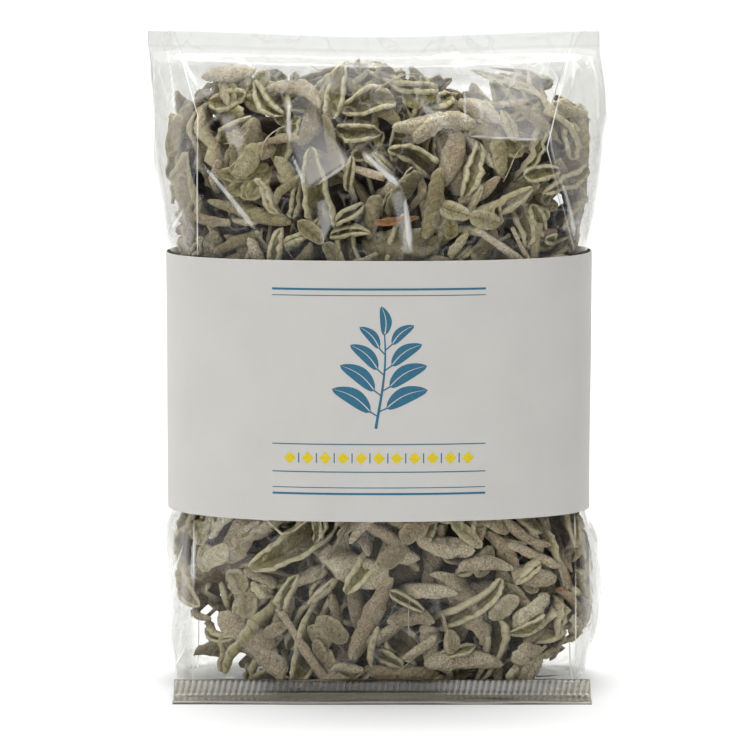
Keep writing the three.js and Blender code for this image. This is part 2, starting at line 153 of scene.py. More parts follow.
class SageSleeveSettings(bpy.types.PropertyGroup):
    """The paper sleeve and its print."""

    thickness: length_property("Thickness", "Thickness of the paper", 0.32)
    lap: length_property("Overlap", "Width of the glued overlap at the back", 18)
    paper: colour_property("Paper", "Colour of the uncoated paper", (0.558, 0.549, 0.524))
    ink: colour_property("Ink", "Blue of the print", (0.02, 0.125, 0.205))
    accent: colour_property("Second ink", "Yellow of the print", (0.64, 0.5, 0.006))


class SageLeafSettings(bpy.types.PropertyGroup):
    """The dried leaves."""

    seed: IntProperty(name="Seed", description="Draws another heap of leaves", default=15)
    extra: IntProperty(name="Fine leaves", description="Leaves laid between the main ones", default=900, min=0)
    under_dark: colour_property("Underside, dark", "Darkest felt", (0.14, 0.115, 0.08))
    under_light: colour_property("Underside, light", "Palest felt", (0.96, 0.875, 0.7))
    upper_dark: colour_property("Upper side, dark", "Darkest olive", (0.05, 0.043, 0.008))
    upper_light: colour_property("Upper side, light", "Palest olive", (0.47, 0.41, 0.135))
    rim: colour_property("Margin", "Pale rolled margin", (0.95, 0.86, 0.57))


class SageStageSettings(bpy.types.PropertyGroup):
    """The floor, the lights and the camera."""

    camera_distance: length_property("Camera distance", "From the bag's middle plane to the camera", 1100)
    camera_height: length_property("Camera height", "Height of the camera over the floor", 245)
    aim_height: length_property("Aim height", "Height that the camera looks at", 81)
    aim_side: length_property("Aim side", "How far to the right the camera looks", -1.0)
    lens: number_property("Lens", "Focal length in mm", 204.0)
    key: number_property("Key light", "Power of the soft box overhead in W", 23.8)
    left: number_property("Left light", "Power of the left soft box in W", 5.5)
    right: number_property("Right light", "Power of the right soft box in W", 0.3)
    corner: number_property("Corner light", "Power of the upper right soft box in W", 4.6)
    backdrop: number_property("Backdrop light", "Power of the light behind in W", 27.8)
    ambient: share_property("Ambient", "Brightness of the room", 0.04, 2.0)
    floor: colour_property("Floor", "Colour of the pale floor", (0.615, 0.615, 0.615))


# ------------ the form of the bag


def mix(a, b, t):
    return a + (b - a) * t


def unit(value):
    """The value, kept between 0 and 1."""
    return np.clip(value, 0, 1)


def smooth(t):
    s = unit(t)
    return s * s * (3 - 2 * s)


def rise(value, start, width):
    """From 0 to 1 as the value grows from start by width."""
    return smooth((value - start) / width)


def fall(value, start, width):
    """From 0 to 1 as the value falls from start by width."""
    return smooth((start - value) / width)


def bell(value, middle, width):
    """1 at the middle, falling on both sides of it."""
    return np.exp(-(((value - middle) / width) ** 2))


def power(value, exponent):
    return np.sign(value) * np.abs(value) ** exponent


def half_width(z):
    up = unit((z - SLEEVE_HIGH) / (BAG_HEIGHT - SLEEVE_HIGH))
    down = unit((SLEEVE_LOW - z) / SLEEVE_LOW)
    above = mix(BODY_HALF_WIDTH, MOUTH_HALF_WIDTH, 1 - (1 - up) ** WIDENING)
    below = mix(BODY_HALF_WIDTH, BASE_HALF_WIDTH, down) + BELLY * np.sin(math.pi * down**BELLY_POWER)
    return np.where(z >= SLEEVE_HIGH, above, below)


def half_depth(z):
    close = unit((z - SHOULDER) / (BAG_HEIGHT - MOUTH_LIP - SHOULDER))
    upper = mix(MOUTH_HALF_DEPTH, BODY_HALF_DEPTH, (1 - close ** CLOSING[0]) ** CLOSING[1])
    down = unit((SLEEVE_LOW - z) / SLEEVE_LOW)
    return upper - (BODY_HALF_DEPTH - BASE_HALF_DEPTH) * down**2


def squareness(z):
    down = fall(z, SLEEVE_LOW, SLEEVE_LOW)
    up = rise(z, SLEEVE_HIGH, SHOULDER + 20 - SLEEVE_HIGH)
    return SQUARE_SLEEVE + (SQUARE_BASE - SQUARE_SLEEVE) * down + (SQUARE_MOUTH - SQUARE_SLEEVE) * up


def bag_point(z, a, inset):
    """The point of the section at height z and angle a, a distance inset inside the film's outer face."""
    e = 2 / squareness(z)
    x = (half_width(z) - inset) * power(np.cos(a), e)
    y = (half_depth(z) - inset) * power(np.sin(a), e)
    return np.stack(np.broadcast_arrays(x, y, z), -1).astype(float)


def mouth_dip(x, z):
    """How far the film sags between the corners of its mouth."""
    across = np.cos(math.pi / 2 * np.clip(x / MOUTH_HALF_WIDTH, -1, 1)) ** 2
    return MOUTH_DIP * across * rise(z, SHOULDER, BAG_HEIGHT - SHOULDER)


def lean(z):
    """How far the filled bag leans to the right at its foot, and to the left at its mouth."""
    return LEAN * bell(z, *FOOT_LEAN) - LEAN * rise(z, *MOUTH_LEAN)


# Spans are a start, or a middle, and a width.
LEAN, FOOT_LEAN, MOUTH_LEAN = 1.4, (22, 12), (148, 20)
NARROWED, NARROWING = 0.018, (145, 18)  # share of its width that the filled bag draws in at its mouth
SAGGED, SAG_TOP, SAG_FOOT = 0.024, (SLEEVE_LOW, 9), (0, 16)  # share of its width that it swells below the sleeve
SAG_SHIFT = 0.5  # how far the swell moves to the right

COLUMNS = 720  # of the unrolled wall's table
DEEP = 10.0  # from the film to the table's inner ring
SHALLOW = 0.8  # the inner ring's depth as a share of the bag's half depth, where the bag is thin


def even_ring(z, inset):
    """Points of the section at height z, evenly spaced by length, from +X round by +Y."""
    g = squareness(z) / 2
    q = np.linspace(0, 1, 181)
    share = q**g / (q**g + (1 - q) ** g)
    a = np.concatenate([(k + share[:-1]) * math.pi / 2 for k in range(4)] + [[TAU]])
    e = 2 / squareness(z)
    x = (half_width(z) - inset) * power(np.cos(a), e)
    y = (half_depth(z) - min(inset, SHALLOW * half_depth(z))) * power(np.sin(a), e)
    length = np.concatenate([[0], np.cumsum(np.hypot(np.diff(x), np.diff(y)))])
    even = np.linspace(0, length[-1], COLUMNS + 1)
    return np.stack([np.interp(even, length, x), np.interp(even, length, y)], -1)


class Wall:
    """The unrolled wall: a table of the film's outer face and of the way inwards, by height and place round."""

    def __init__(self):
        self.levels = np.arange(0, int(BAG_HEIGHT) + 1).astype(float)
        outer = np.array([even_ring(z, 0) for z in self.levels])
        inner = np.array([even_ring(z, DEEP) for z in self.levels])
        ways = inner - outer
        swell = fall(self.levels, *SAG_TOP) * rise(self.levels, *SAG_FOOT)
        outer[..., 0] *= 1 + (SAGGED * swell - NARROWED * rise(self.levels, *NARROWING))[:, None]
        self.outer = outer + np.stack([lean(self.levels) + SAG_SHIFT * swell, 0 * self.levels], -1)[:, None, :]
        self.ways = ways / np.maximum(np.linalg.norm(ways, axis=-1, keepdims=True), 1e-6)
        middle = even_ring(SLEEVE_MIDDLE, 0)
        self.girth = np.linalg.norm(np.diff(middle, axis=0), axis=-1).sum()
        self.front = 0.75 * self.girth  # the middle of the front

    def across(self, s, start):
        """How far s lies round from start, the short way."""
        return (s - start + self.girth / 2) % self.girth - self.girth / 2

    def look_up(self, table, s, z):
        u = (s / self.girth) % 1 * COLUMNS
        j = np.minimum(u.astype(int), COLUMNS - 1)
        fj = (u - j)[..., None]
        row = np.clip(z, 0, self.levels[-1] - 1e-6)
        i = row.astype(int)
        fi = (row - i)[..., None]
        low = table[i, j] * (1 - fj) + table[i, j + 1] * fj
        high = table[i + 1, j] * (1 - fj) + table[i + 1, j + 1] * fj
        return low * (1 - fi) + high * fi

    def point(self, s, z, depth):
        """Points a distance depth inside the film at a place s round the bag, in mm from +X, and height z."""
        s, z, depth = (np.asarray(v, float) for v in np.broadcast_arrays(s, z, depth))
        at = self.look_up(self.outer, s, z) + self.look_up(self.ways, s, z) * depth[..., None]
        return np.concatenate([at, (z - mouth_dip(at[..., 0], z))[..., None]], -1)

    def place(self, p):
        """The place round, and the depth, of a point of the bag's own frame."""
        i = int(round(float(np.clip(p[2], 0, self.levels[-1]))))
        gap = np.asarray(p[:2]) - self.outer[i, :-1]
        along = (gap * self.ways[i, :-1]).sum(-1)
        off = np.abs(gap[:, 0] * self.ways[i, :-1, 1] - gap[:, 1] * self.ways[i, :-1, 0])
        off = off + np.where((along < -1) | (along > BODY_HALF_DEPTH + 4), 99, 0)
        j = int(np.argmin(off))
        return j / COLUMNS * self.girth, float(along[j])


WALL = Wall()


# ------------ meshes, noise and small helpers


def noise(seed, x, y, wrap=0):
    """Smooth noise from -1 to 1 on a unit lattice. With wrap, it repeats in x after that many cells."""
    size = 97
    rows = np.random.default_rng(seed).uniform(-1, 1, (size, size))
    i, j = np.floor(x).astype(int), np.floor(y).astype(int)
    fx, fy = smooth(x - i), smooth(y - j)
    turn = wrap or size
    at = lambda a, b: rows[(a % turn) % size, b % size]
    low = mix(at(i, j), at(i + 1, j), fx)
    high = mix(at(i, j + 1), at(i + 1, j + 1), fx)
    return mix(low, high, fy)


def ring_noise(seed, s, count, up):
    """Noise over the unrolled wall, with a number of cells in its whole turn."""
    return noise(seed, s / WALL.girth * count, up, count)


def add_mesh(name, points, faces, material, shade_smooth=True, marks=None):
    """A mesh object from points in mm and a list of face arrays, one for each face size."""
    mesh = bpy.data.meshes.new(name)
    points = np.asarray(points, float) * MM
    points = points + np.array([0, BACK_SHIFT * MM, 0])
    mesh.vertices.add(len(points))
    mesh.vertices.foreach_set("co", points.astype(np.float32).ravel())
    faces = [np.asarray(f, int) for f in faces if len(f)]
    loops = np.concatenate([f.ravel() for f in faces])
    sizes = np.concatenate([np.full(len(f), f.shape[1]) for f in faces])
    mesh.loops.add(len(loops))
    mesh.loops.foreach_set("vertex_index", loops)
    mesh.polygons.add(len(sizes))
    mesh.polygons.foreach_set("loop_start", np.concatenate([[0], np.cumsum(sizes)[:-1]]))
    mesh.polygons.foreach_set("use_smooth", np.full(len(sizes), shade_smooth))
    mesh.update(calc_edges=True)
    for mark, values in (marks or {}).items():
        layer = mesh.attributes.new(mark, "FLOAT", "POINT")
        layer.data.foreach_set("value", np.asarray(values, np.float32))
    mesh.materials.append(material)
    piece = bpy.data.objects.new(name, mesh)
    bpy.context.scene.collection.objects.link(piece)
    return piece


def grid_faces(rows, columns, closed=True):
    """Quads of a grid of points, whose rows run round when it is closed."""
    i, j = np.meshgrid(np.arange(rows - 1), np.arange(columns if closed else columns - 1), indexing="ij")
    k = (j + 1) % columns
    return np.stack([i * columns + j, i * columns + k, (i + 1) * columns + k, (i + 1) * columns + j], -1).reshape(-1, 4)


def fan(ring, centre, turned=False):
    """Triangles from a ring of point numbers to a centre."""
    ring = np.asarray(ring)
    after = np.roll(ring, -1)
    middle = np.full(len(ring), centre)
    return np.stack([middle, after, ring] if turned else [middle, ring, after], -1)


def tube_faces(rows, columns):
    """Quads of rings one after another, and the triangles that close both ends at the next two points."""
    body, ring = rows * columns, np.arange(columns)
    ends = [fan(ring, body, turned=True), fan((rows - 1) * columns + ring, body + 1)]
    return grid_faces(rows, columns), np.concatenate(ends)


def add_piece(node, slot, *shape, **look):
    """A mesh that rides the bag's body, in place of one solid of the frame."""
    piece = add_mesh(*shape, **look)
    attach(piece, "root")
    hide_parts(node)


# ------------ materials


# Where the front and back panels turn to the sides: heights and distances from the middle.
PANEL_EDGE_LEFT = ((0, 48.4), (46, 48.0), (118, 46.6), (150, 46.4), (BAG_HEIGHT, 53.0))
PANEL_EDGE_RIGHT = ((0, 51.2), (46, 51.0), (116, 50.2), (142, 43.0), (BAG_HEIGHT, 50.5))


class Nodes:
    """Adds nodes to a tree and joins them, so that a material reads as a list of steps."""

    def __init__(self, tree):
        self.tree = tree
        self.count = 0

    def add(self, kind, values=None, **settings):
        node = self.tree.nodes.new(kind)
        node.location = (self.count * 190, -(self.count % 4) * 170)
        self.count += 1
        for key, value in settings.items():
            setattr(node, key, value)
        for key, value in (values or {}).items():
            socket = node.inputs[key]
            if isinstance(value, bpy.types.NodeSocket):
                self.tree.links.new(value, socket)
            else:
                socket.default_value = value
        return node

    def math(self, operation, *values, clamp=False):
        node = self.add("ShaderNodeMath", dict(enumerate(values)), operation=operation, use_clamp=clamp)
        return node.outputs[0]

    def plus(self, a, b, clamp=False):
        return self.math("ADD", a, b, clamp=clamp)

    def minus(self, a, b, clamp=False):
        return self.math("SUBTRACT", a, b, clamp=clamp)

    def times(self, a, b, clamp=False):
        return self.math("MULTIPLY", a, b, clamp=clamp)

    def mix(self, share, a, b, blend="MIX"):
        node = self.add("ShaderNodeMix", data_type="RGBA", blend_type=blend)
        for index, value in ((0, share), (6, a), (7, b)):
            if isinstance(value, bpy.types.NodeSocket):
                self.tree.links.new(value, node.inputs[index])
            else:
                node.inputs[index].default_value = value
        return node.outputs[2]

    def ramp(self, value, stops):
        node = self.add("ShaderNodeValToRGB", {"Fac": value})
        while len(node.color_ramp.elements) < len(stops):
            node.color_ramp.elements.new(0.5)
        for element, (place, colour) in zip(node.color_ramp.elements, stops):
            element.position = place
            element.color = colour if len(colour) == 4 else (*colour, 1)
        return node.outputs["Color"]

    def mark(self, name):
        return self.add("ShaderNodeAttribute", attribute_name=name).outputs["Fac"]

    def place(self):
        return self.add("ShaderNodeTexCoord").outputs["Object"]

    def stretched(self, vector, share):
        """The vector with its height scaled by a share."""
        return self.add("ShaderNodeMapping", {"Vector": vector, "Scale": (1.0, 1.0, share)}).outputs["Vector"]

    def noise(self, vector, scale, detail, **more):
        values = {"Vector": vector, "Scale": scale, "Detail": detail, **more}
        return self.add("ShaderNodeTexNoise", values).outputs["Fac"]

    def cells(self, vector, scale, feature, **more):
        values = {"Vector": vector, "Scale": scale, **more}
        return self.add("ShaderNodeTexVoronoi", values, feature=feature).outputs["Distance"]

    def weighed(self, a, share_a, b, share_b):
        return self.plus(self.times(a, share_a), self.times(b, share_b))

    def bump(self, height, strength, distance, **more):
        values = {"Strength": strength, "Distance": distance, "Height": height, **more}
        return self.add("ShaderNodeBump", values).outputs["Normal"]

    def matt(self, colour, roughness, **more):
        """The material's surface, as a plain shader."""
        values = {"Base Color": colour, "Roughness": roughness}
        values.update({name.replace("_", " "): value for name, value in more.items()})
        self.surface(self.add("ShaderNodeBsdfPrincipled", values))

    def surface(self, shader):
        self.add("ShaderNodeOutputMaterial", {"Surface": shader.outputs[0]})


def solid(colour, share=1.0):
    return (*(c * share for c in colour), 1)


def new_material(name):
    material = bpy.data.materials.new(name)
    material.use_nodes = True
    material.node_tree.nodes.clear()
    return material, Nodes(material.node_tree)


def new_group(name, inputs, outputs):
    """An empty shader node group whose sockets are all numbers."""
    tree = bpy.data.node_groups.new(name, "ShaderNodeTree")
    for socket, value in inputs.items():
        made = tree.interface.new_socket(socket, in_out="INPUT", socket_type="NodeSocketFloat")
        made.default_value = value
    for socket in outputs:
        tree.interface.new_socket(socket, in_out="OUTPUT", socket_type="NodeSocketFloat")
    nodes = Nodes(tree)
    return tree, nodes, nodes.add("NodeGroupInput"), nodes.add("NodeGroupOutput")


def felt_group():
    """Pebbled felt: a height, a mottling mask and the paler nap on the tops of the pebbles."""
    scales = {"Pebble scale": 1500.0, "Nap scale": 3100.0, "Mottle scale": 260.0}
    tree, n, given, out = new_group("Pebbled felt", scales, ["Height", "Mottle", "Nap"])
    place = n.place()
    pebbles = n.cells(place, given.outputs["Pebble scale"], "SMOOTH_F1", Smoothness=0.6)
    nap = n.noise(place, given.outputs["Nap scale"], 3.0, Roughness=0.65)
    mottle = n.noise(place, given.outputs["Mottle scale"], 4.0, Roughness=0.6)
    dome = n.minus(0.85, pebbles, clamp=True)
    grain = n.times(n.minus(nap, 0.36, clamp=True), 3.4, clamp=True)
    tree.links.new(n.weighed(dome, 0.7, grain, 0.5), out.inputs["Height"])
    tree.links.new(mottle, out.inputs["Mottle"])
    tree.links.new(n.weighed(dome, 0.45, grain, 0.55), out.inputs["Nap"])
    return tree


def crumple_group():
    """Fine crumpling of thin film: a height with flat facets."""
    scales = {"Scale": 46.0, "Fine scale": 150.0, "Fine share": 0.12}
    tree, n, given, out = new_group("Film crumple", scales, ["Height"])
    squeezed = n.stretched(n.place(), 0.62)
    large = n.cells(squeezed, given.outputs["Scale"], "DISTANCE_TO_EDGE")
    small = n.cells(squeezed, given.outputs["Fine scale"], "DISTANCE_TO_EDGE")
    fine = n.times(n.math("MINIMUM", small, 0.12), given.outputs["Fine share"])
    sway = n.noise(squeezed, 55.0, 2.0, Roughness=0.4)
    flat = n.plus(n.math("MINIMUM", large, 0.07), n.times(sway, 0.42))
    tree.links.new(n.plus(flat, fine), out.inputs["Height"])
    return tree


GROUPS = {}


def group_node(nodes, make):
    """A node of a shared group, which is made when it is first asked for."""
    if make not in GROUPS:
        GROUPS[make] = make()
    return nodes.add("ShaderNodeGroup", node_tree=GROUPS[make])


def panel_lines(n):
    """A mask of the two thin upright creases where the panels turn to the sides."""
    place = n.add("ShaderNodeSeparateXYZ", {0: n.place()})
    height = n.math("DIVIDE", place.outputs["Z"], BAG_HEIGHT * MM)
    reach, half_line = MOUTH_HALF_WIDTH, 0.26
    lines = []
    for side, table in ((-1.0, PANEL_EDGE_LEFT), (1.0, PANEL_EDGE_RIGHT)):
        stops = [(z / BAG_HEIGHT, (x / reach,) * 3) for z, x in table]
        edge = n.times(n.ramp(height, stops), reach * MM)
        gap = n.math("ABSOLUTE", n.minus(n.times(place.outputs["X"], side), edge))
        lines.append(n.minus(1.0, n.times(gap, 1 / (half_line * MM)), clamp=True))
    return n.math("MAXIMUM", *lines)


def film_veil(n, settings, haze, folds):
    """How milky the film is, and how much of that comes from sharp marks, which include painted reflections, glints and
    highlights.
    """
    place = n.place()
    patches = n.noise(place, 42.0, 3.0, Roughness=0.6)
    milky = n.times(n.minus(patches, 0.3, clamp=True), haze * 3)
    streaks = n.noise(n.stretched(place, 0.12), 210.0, 3.0, Roughness=0.6)
    uneven = n.math("MULTIPLY_ADD", n.math("MULTIPLY_ADD", streaks, 2.2, -0.65, clamp=True), 0.65, 0.35)
    side = n.times(n.times(n.mark("gusset"), uneven), settings.side_haze * 1.2)
    # The crease mark whitens creases and welds, and carries the painted reflections of the flat panels and painted
    # glints along sharp creases.
    crease_and_glare_veil = n.times(n.mark("crease"), 0.4)
    # The upright panel lines and the highlight straps are painted highlights along creases, partly crease whitening.
    line = n.times(panel_lines(n), n.times(n.mark("line"), 0.85))
    highlight_strap = n.math("MULTIPLY_ADD", n.mark("highlight_strap"), 3.0, -1.2, clamp=True)
    line = n.math("MAXIMUM", line, n.times(highlight_strap, 0.4))
    bent = n.times(n.math("ABSOLUTE", n.minus(patches, 0.5)), 75.0)
    fold = n.times(n.minus(1.0, bent, clamp=True), folds)
    sharp = n.plus(n.plus(crease_and_glare_veil, line), fold, clamp=True)
    return n.plus(n.plus(milky, side), sharp, clamp=True), sharp


def film_material(name, settings, clearness, haze, crumple=0.8, folds=0.12):
    """Clear film: see-through, with a gloss that grows towards its edges, a milky mark along its creases, painted
    reflections and highlights, and painted shade over the leaves near the top.
    """
    material, n = new_material(name)
    crumpled = group_node(n, crumple_group)
    normal = n.bump(crumpled.outputs["Height"], crumple, 0.001)
    veil, sharp = film_veil(n, settings, haze, folds)
    # The shade mark is painted shade: it darkens the film's haze over the leaves near the top.
    shaded = n.mix(n.mark("shade"), solid(settings.tint), solid(settings.tint, 0.42))
    tone = n.mix(n.times(sharp, 2.0, clamp=True), shaded, solid(settings.mark))
    clear = n.add("ShaderNodeBsdfTransparent", {"Color": solid(clearness)})
    milk = n.add("ShaderNodeBsdfPrincipled", {"Base Color": tone, "Roughness": 0.35, "Normal": normal})
    body = n.add("ShaderNodeMixShader", {0: veil, 1: clear.outputs[0], 2: milk.outputs[0]})
    shine = n.add("ShaderNodeBsdfGlossy", {"Color": (1, 1, 1, 1), "Roughness": settings.gloss, "Normal": normal})
    facing = n.add("ShaderNodeLayerWeight", {"Blend": 0.5, "Normal": normal}).outputs["Facing"]
    grazing = n.times(n.math("POWER", facing, 5.0), 1 - settings.mirror)
    edge = n.plus(grazing, settings.mirror)
    n.surface(n.add("ShaderNodeMixShader", {0: edge, 1: body.outputs[0], 2: shine.outputs[0]}))
    return material


def paper_material(settings):
    """Matt uncoated paper with short fibres and a faint mottle."""
    material, n = new_material("uncoated_paper")
    place = n.place()
    fibres = n.noise(n.stretched(place, 3.2), 1500.0, 5.0, Roughness=0.7, Distortion=1.4)
    tone = n.weighed(fibres, 0.55, n.noise(place, 70.0, 3.0), 0.45)
    colour = n.ramp(tone, [(0.3, solid(settings.paper, 0.95)), (0.62, solid(settings.paper, 1.03))])
    n.matt(colour, 0.86, Specular_IOR_Level=0.3, Normal=n.bump(fibres, 0.22, 0.0001))
    return material


def ink_material(name, colour):
    """Matt ink that lets a little of the paper's grain through."""
    material, n = new_material(name)
    grain = n.noise(n.place(), 2600.0, 3.0)
    tone = n.ramp(grain, [(0.35, solid(colour, 0.9)), (0.75, solid(colour, 1.25))])
    n.matt(tone, 0.72, Normal=n.bump(grain, 0.15, 0.0001))
    return material


WOOD = (0.4, 0.165, 0.045, 1)
PAINTED_SHADE_BROWN = (0.055, 0.035, 0.018, 1)
SHEEN = (0.9, 0.88, 0.78, 1)
NAP_STOPS = [(0.12, (0.5, 0.44, 0.36, 1)), (0.5, (0.95, 0.93, 0.9, 1)), (0.85, (1.38, 1.38, 1.36, 1))]


def leaf_material(settings):
    """Felted sage: grey-beige undersides, olive upper sides, pale margins, with painted shade along the rib and on
    leaves deep in the heap.
    """
    material, n = new_material("dried_sage_felt")
    felt = group_node(n, felt_group)
    mottled = n.weighed(n.mark("tone"), 0.75, felt.outputs["Mottle"], 0.5)
    shade = n.minus(mottled, 0.12, clamp=True)
    warm = solid(mix(np.array(settings.under_dark), np.array(settings.under_light), 0.45) * (1.08, 0.98, 0.9))
    under = n.ramp(shade, [(0.0, solid(settings.under_dark)), (0.45, warm), (1.0, solid(settings.under_light))])
    upper = n.ramp(shade, [(0.0, solid(settings.upper_dark)), (1.0, solid(settings.upper_light))])
    colour = n.mix(n.times(n.mark("upper"), 0.85), under, upper)
    napped = n.math("MULTIPLY_ADD", n.mark("upper"), -0.35, 1.0)
    colour = n.mix(napped, colour, n.ramp(felt.outputs["Nap"], NAP_STOPS), "MULTIPLY")
    colour = n.mix(n.times(n.mark("rim"), 0.72), colour, solid(settings.rim))
    # The rib mark is painted shade along the rib's groove.
    colour = n.mix(n.times(n.mark("rib"), 0.45), colour, solid(settings.upper_dark, 0.9))
    colour = n.mix(n.mark("wood"), colour, WOOD)
    # The deep mark is painted shade: it turns leaves far inside the film dark brown.
    colour = n.mix(n.mark("deep"), colour, PAINTED_SHADE_BROWN)
    veins = n.math("POWER", n.math("ABSOLUTE", n.math("SINE", n.times(n.mark("vein"), 1.4))), 7.0)
    veined = n.times(n.times(veins, n.mark("upper")), 0.3)
    colour = n.mix(veined, colour, solid(settings.upper_dark))
    creased = n.noise(n.place(), 420.0, 2.0, Distortion=0.6)
    wrinkled = n.bump(n.plus(creased, n.times(veins, 0.16)), 0.75, 0.0014)
    pebbled = n.bump(felt.outputs["Height"], 0.85, 0.0004, Normal=wrinkled)
    n.matt(colour, 0.92, Specular_IOR_Level=0.12, Sheen_Weight=0.22, Sheen_Roughness=0.55, Sheen_Tint=SHEEN,
           Normal=pebbled)
    return material


def fibre_material():
    """Pale dry strands."""
    material, n = new_material("dry_fibre")
    streak = n.noise(n.place(), 900.0, 2.0)
    n.matt(n.ramp(streak, [(0.3, (0.42, 0.34, 0.2, 1)), (0.7, (0.72, 0.66, 0.5, 1))]), 0.7)
    return material


def floor_material(settings):
    """A plain pale floor."""
    material, n = new_material("pale_floor")
    cloud = n.noise(n.place(), 3.0, 2.0)
    tone = n.ramp(cloud, [(0.3, solid(settings.floor, 0.99)), (0.7, solid(settings.floor, 1.01))])
    n.matt(tone, 0.9, Specular_IOR_Level=0.1)
    return material


# ------------ the film bag

HIDDEN = (SLEEVE_LOW + 3, SLEEVE_HIGH - 3)  # heights between which the sleeve hides the film
LIP_PINCH, LIP_SPAN = 0.3, (163, 4)
WELD_HEIGHTS = (164.6, 167.2)
COARSE_FACETS, FINE_FACETS, FINE_SHARE = 17, 8, 0.3  # spacings of the facets, and the finer ones' share of the lift
CREASE_RARITY, CREASE_WIDTH = 2.5, 0.5  # of the facets' edges
CREASE_SPREAD = 0.55  # how far the short creases turn from upright, as a usual angle
ABOVE_SHARE = 0.68  # share of the short creases that lie above the sleeve
STILL_SPAN = (160, 8)  # where the film grows flat towards its welds
RIDGE, RIDGE_REACH = 0.95, 4.5  # of the edges between the panels and the sides
HOLLOW, HOLLOW_SPAN = 0.55, (4.5, 2.2)  # of the side beside each ridge
FURTHEST = 1.3  # how far the film may stand out of its plain form
SIDE_MARK, SIDE_SPAN, SIDE_FADE = 1.5, (-0.6, 2.4), (158, 8)  # milkiness of the sides below the sleeve
VEIL_START, VEIL_END, VEIL_EDGE = (156.5, 4), (166, 2), (2, 4)  # the film over the leaves, milkier and with painted shade
# GLARE_MARK is the strength of the painted reflections on the front's flat panels.
GLARE_MARK, CREASE_MARK, FINE_MARK, WELD_MARK = 1.1, 0.5, 0.2, 0.3
SHARP = 0.7  # softness of the sharp side of a glaring panel


def panel_edge(x, z):
    """The distance from the middle of the upright crease where the front or back panel turns to the side."""
    left = np.interp(z, *zip(*PANEL_EDGE_LEFT))
    right = np.interp(z, *zip(*PANEL_EDGE_RIGHT))
    return np.where(x < 0, left, right)


def facets(rng, s, z, spread, lift):
    """Flat triangular facets over the unrolled wall: their lift and how close a point lies to a strong crease."""
    girth, beyond, overlap, tiny = WALL.girth, 10, 60, 1e-6
    count = int(girth * (BAG_HEIGHT + 2 * beyond) / spread**2)
    spots = np.stack([rng.uniform(0, girth, count), rng.uniform(-beyond, BAG_HEIGHT + beyond, count)], -1)
    heights = rng.uniform(-1, 1, count)
    strong = rng.uniform(0, 1, count)
    every = np.concatenate([spots + (k * girth, 0) for k in (-1, 0, 1)])
    source = np.tile(np.arange(count), 3)
    near = (every[:, 0] > -overlap) & (every[:, 0] < girth + overlap)
    every, source = every[near], source[near]
    found = delaunay_2d_cdt([Vector(p) for p in every], [], [], 0, 1e-5)
    corners = np.array([tuple(p) for p in found[0]])
    owner = np.array([ids[0] for ids in found[3]])
    lifted, mark = np.zeros(s.shape), np.zeros(s.shape)
    for face in found[2]:
        a, b, c = (corners[k] for k in face)
        low, high = np.minimum(np.minimum(a, b), c), np.maximum(np.maximum(a, b), c)
        j0, j1 = np.searchsorted(s[0], (low[0], high[0]))
        i0, i1 = np.searchsorted(z[:, 0], (low[1], high[1]))
        if j0 == j1 or i0 == i1:
            continue
        px, py = s[i0:i1, j0:j1], z[i0:i1, j0:j1]
        area = (b[0] - a[0]) * (c[1] - a[1]) - (c[0] - a[0]) * (b[1] - a[1])
        if abs(area) < tiny:
            continue
        wb = ((px - a[0]) * (c[1] - a[1]) - (c[0] - a[0]) * (py - a[1])) / area
        wc = ((b[0] - a[0]) * (py - a[1]) - (px - a[0]) * (b[1] - a[1])) / area
        wa = 1 - wb - wc
        inside = (wa >= -tiny) & (wb >= -tiny) & (wc >= -tiny)
        ids = [source[owner[k]] for k in face]
        value = wa * heights[ids[0]] + wb * heights[ids[1]] + wc * heights[ids[2]]
        lifted[i0:i1, j0:j1][inside] = value[inside] * lift
        edge = np.zeros(px.shape)
        for k, (w, start, end) in enumerate(((wa, b, c), (wb, c, a), (wc, a, b))):
            side = math.hypot(*(end - start))
            gap = np.abs(w) * abs(area) / side
            share = (strong[ids[(k + 1) % 3]] * strong[ids[(k + 2) % 3]]) ** CREASE_RARITY
            edge = np.maximum(edge, share * bell(gap, 0, CREASE_WIDTH))
        mark[i0:i1, j0:j1][inside] = edge[inside]
    return lifted, mark


def sharp_creases(rng, s, z, count, lift):
    """Short straight folds, in or out, that fade towards their ends: their lift and their mark, a painted glint along
    each.
    """
    total, mark = np.zeros(s.shape), np.zeros(s.shape)
    for _ in range(count):
        s0 = rng.uniform(0, WALL.girth)
        above = rng.uniform() < ABOVE_SHARE
        z0 = rng.uniform(SLEEVE_HIGH, BAG_HEIGHT - 2) if above else rng.uniform(2, SLEEVE_LOW)
        turn = rng.normal(math.pi / 2, CREASE_SPREAD)
        length, reach = rng.uniform(12, 46), rng.uniform(1.6, 5.5)
        sign = 1 if rng.uniform() < 0.6 else -1
        depth = lift * rng.uniform(0.4, 1.0) * sign
        ds = WALL.across(s, s0)
        along = ds * math.cos(turn) + (z - z0) * math.sin(turn)
        across = -ds * math.sin(turn) + (z - z0) * math.cos(turn)
        fade = unit(1 - np.abs(along) / (length / 2))
        tent = unit(1 - np.abs(across) / (reach * (0.3 + 0.7 * fade)))
        total += depth * tent * np.sqrt(fade)
        glint = rng.uniform(0.0, 1.0) ** 2
        mark = np.maximum(mark, glint * bell(across, 0, 0.42) * np.sqrt(fade))
    return total, mark


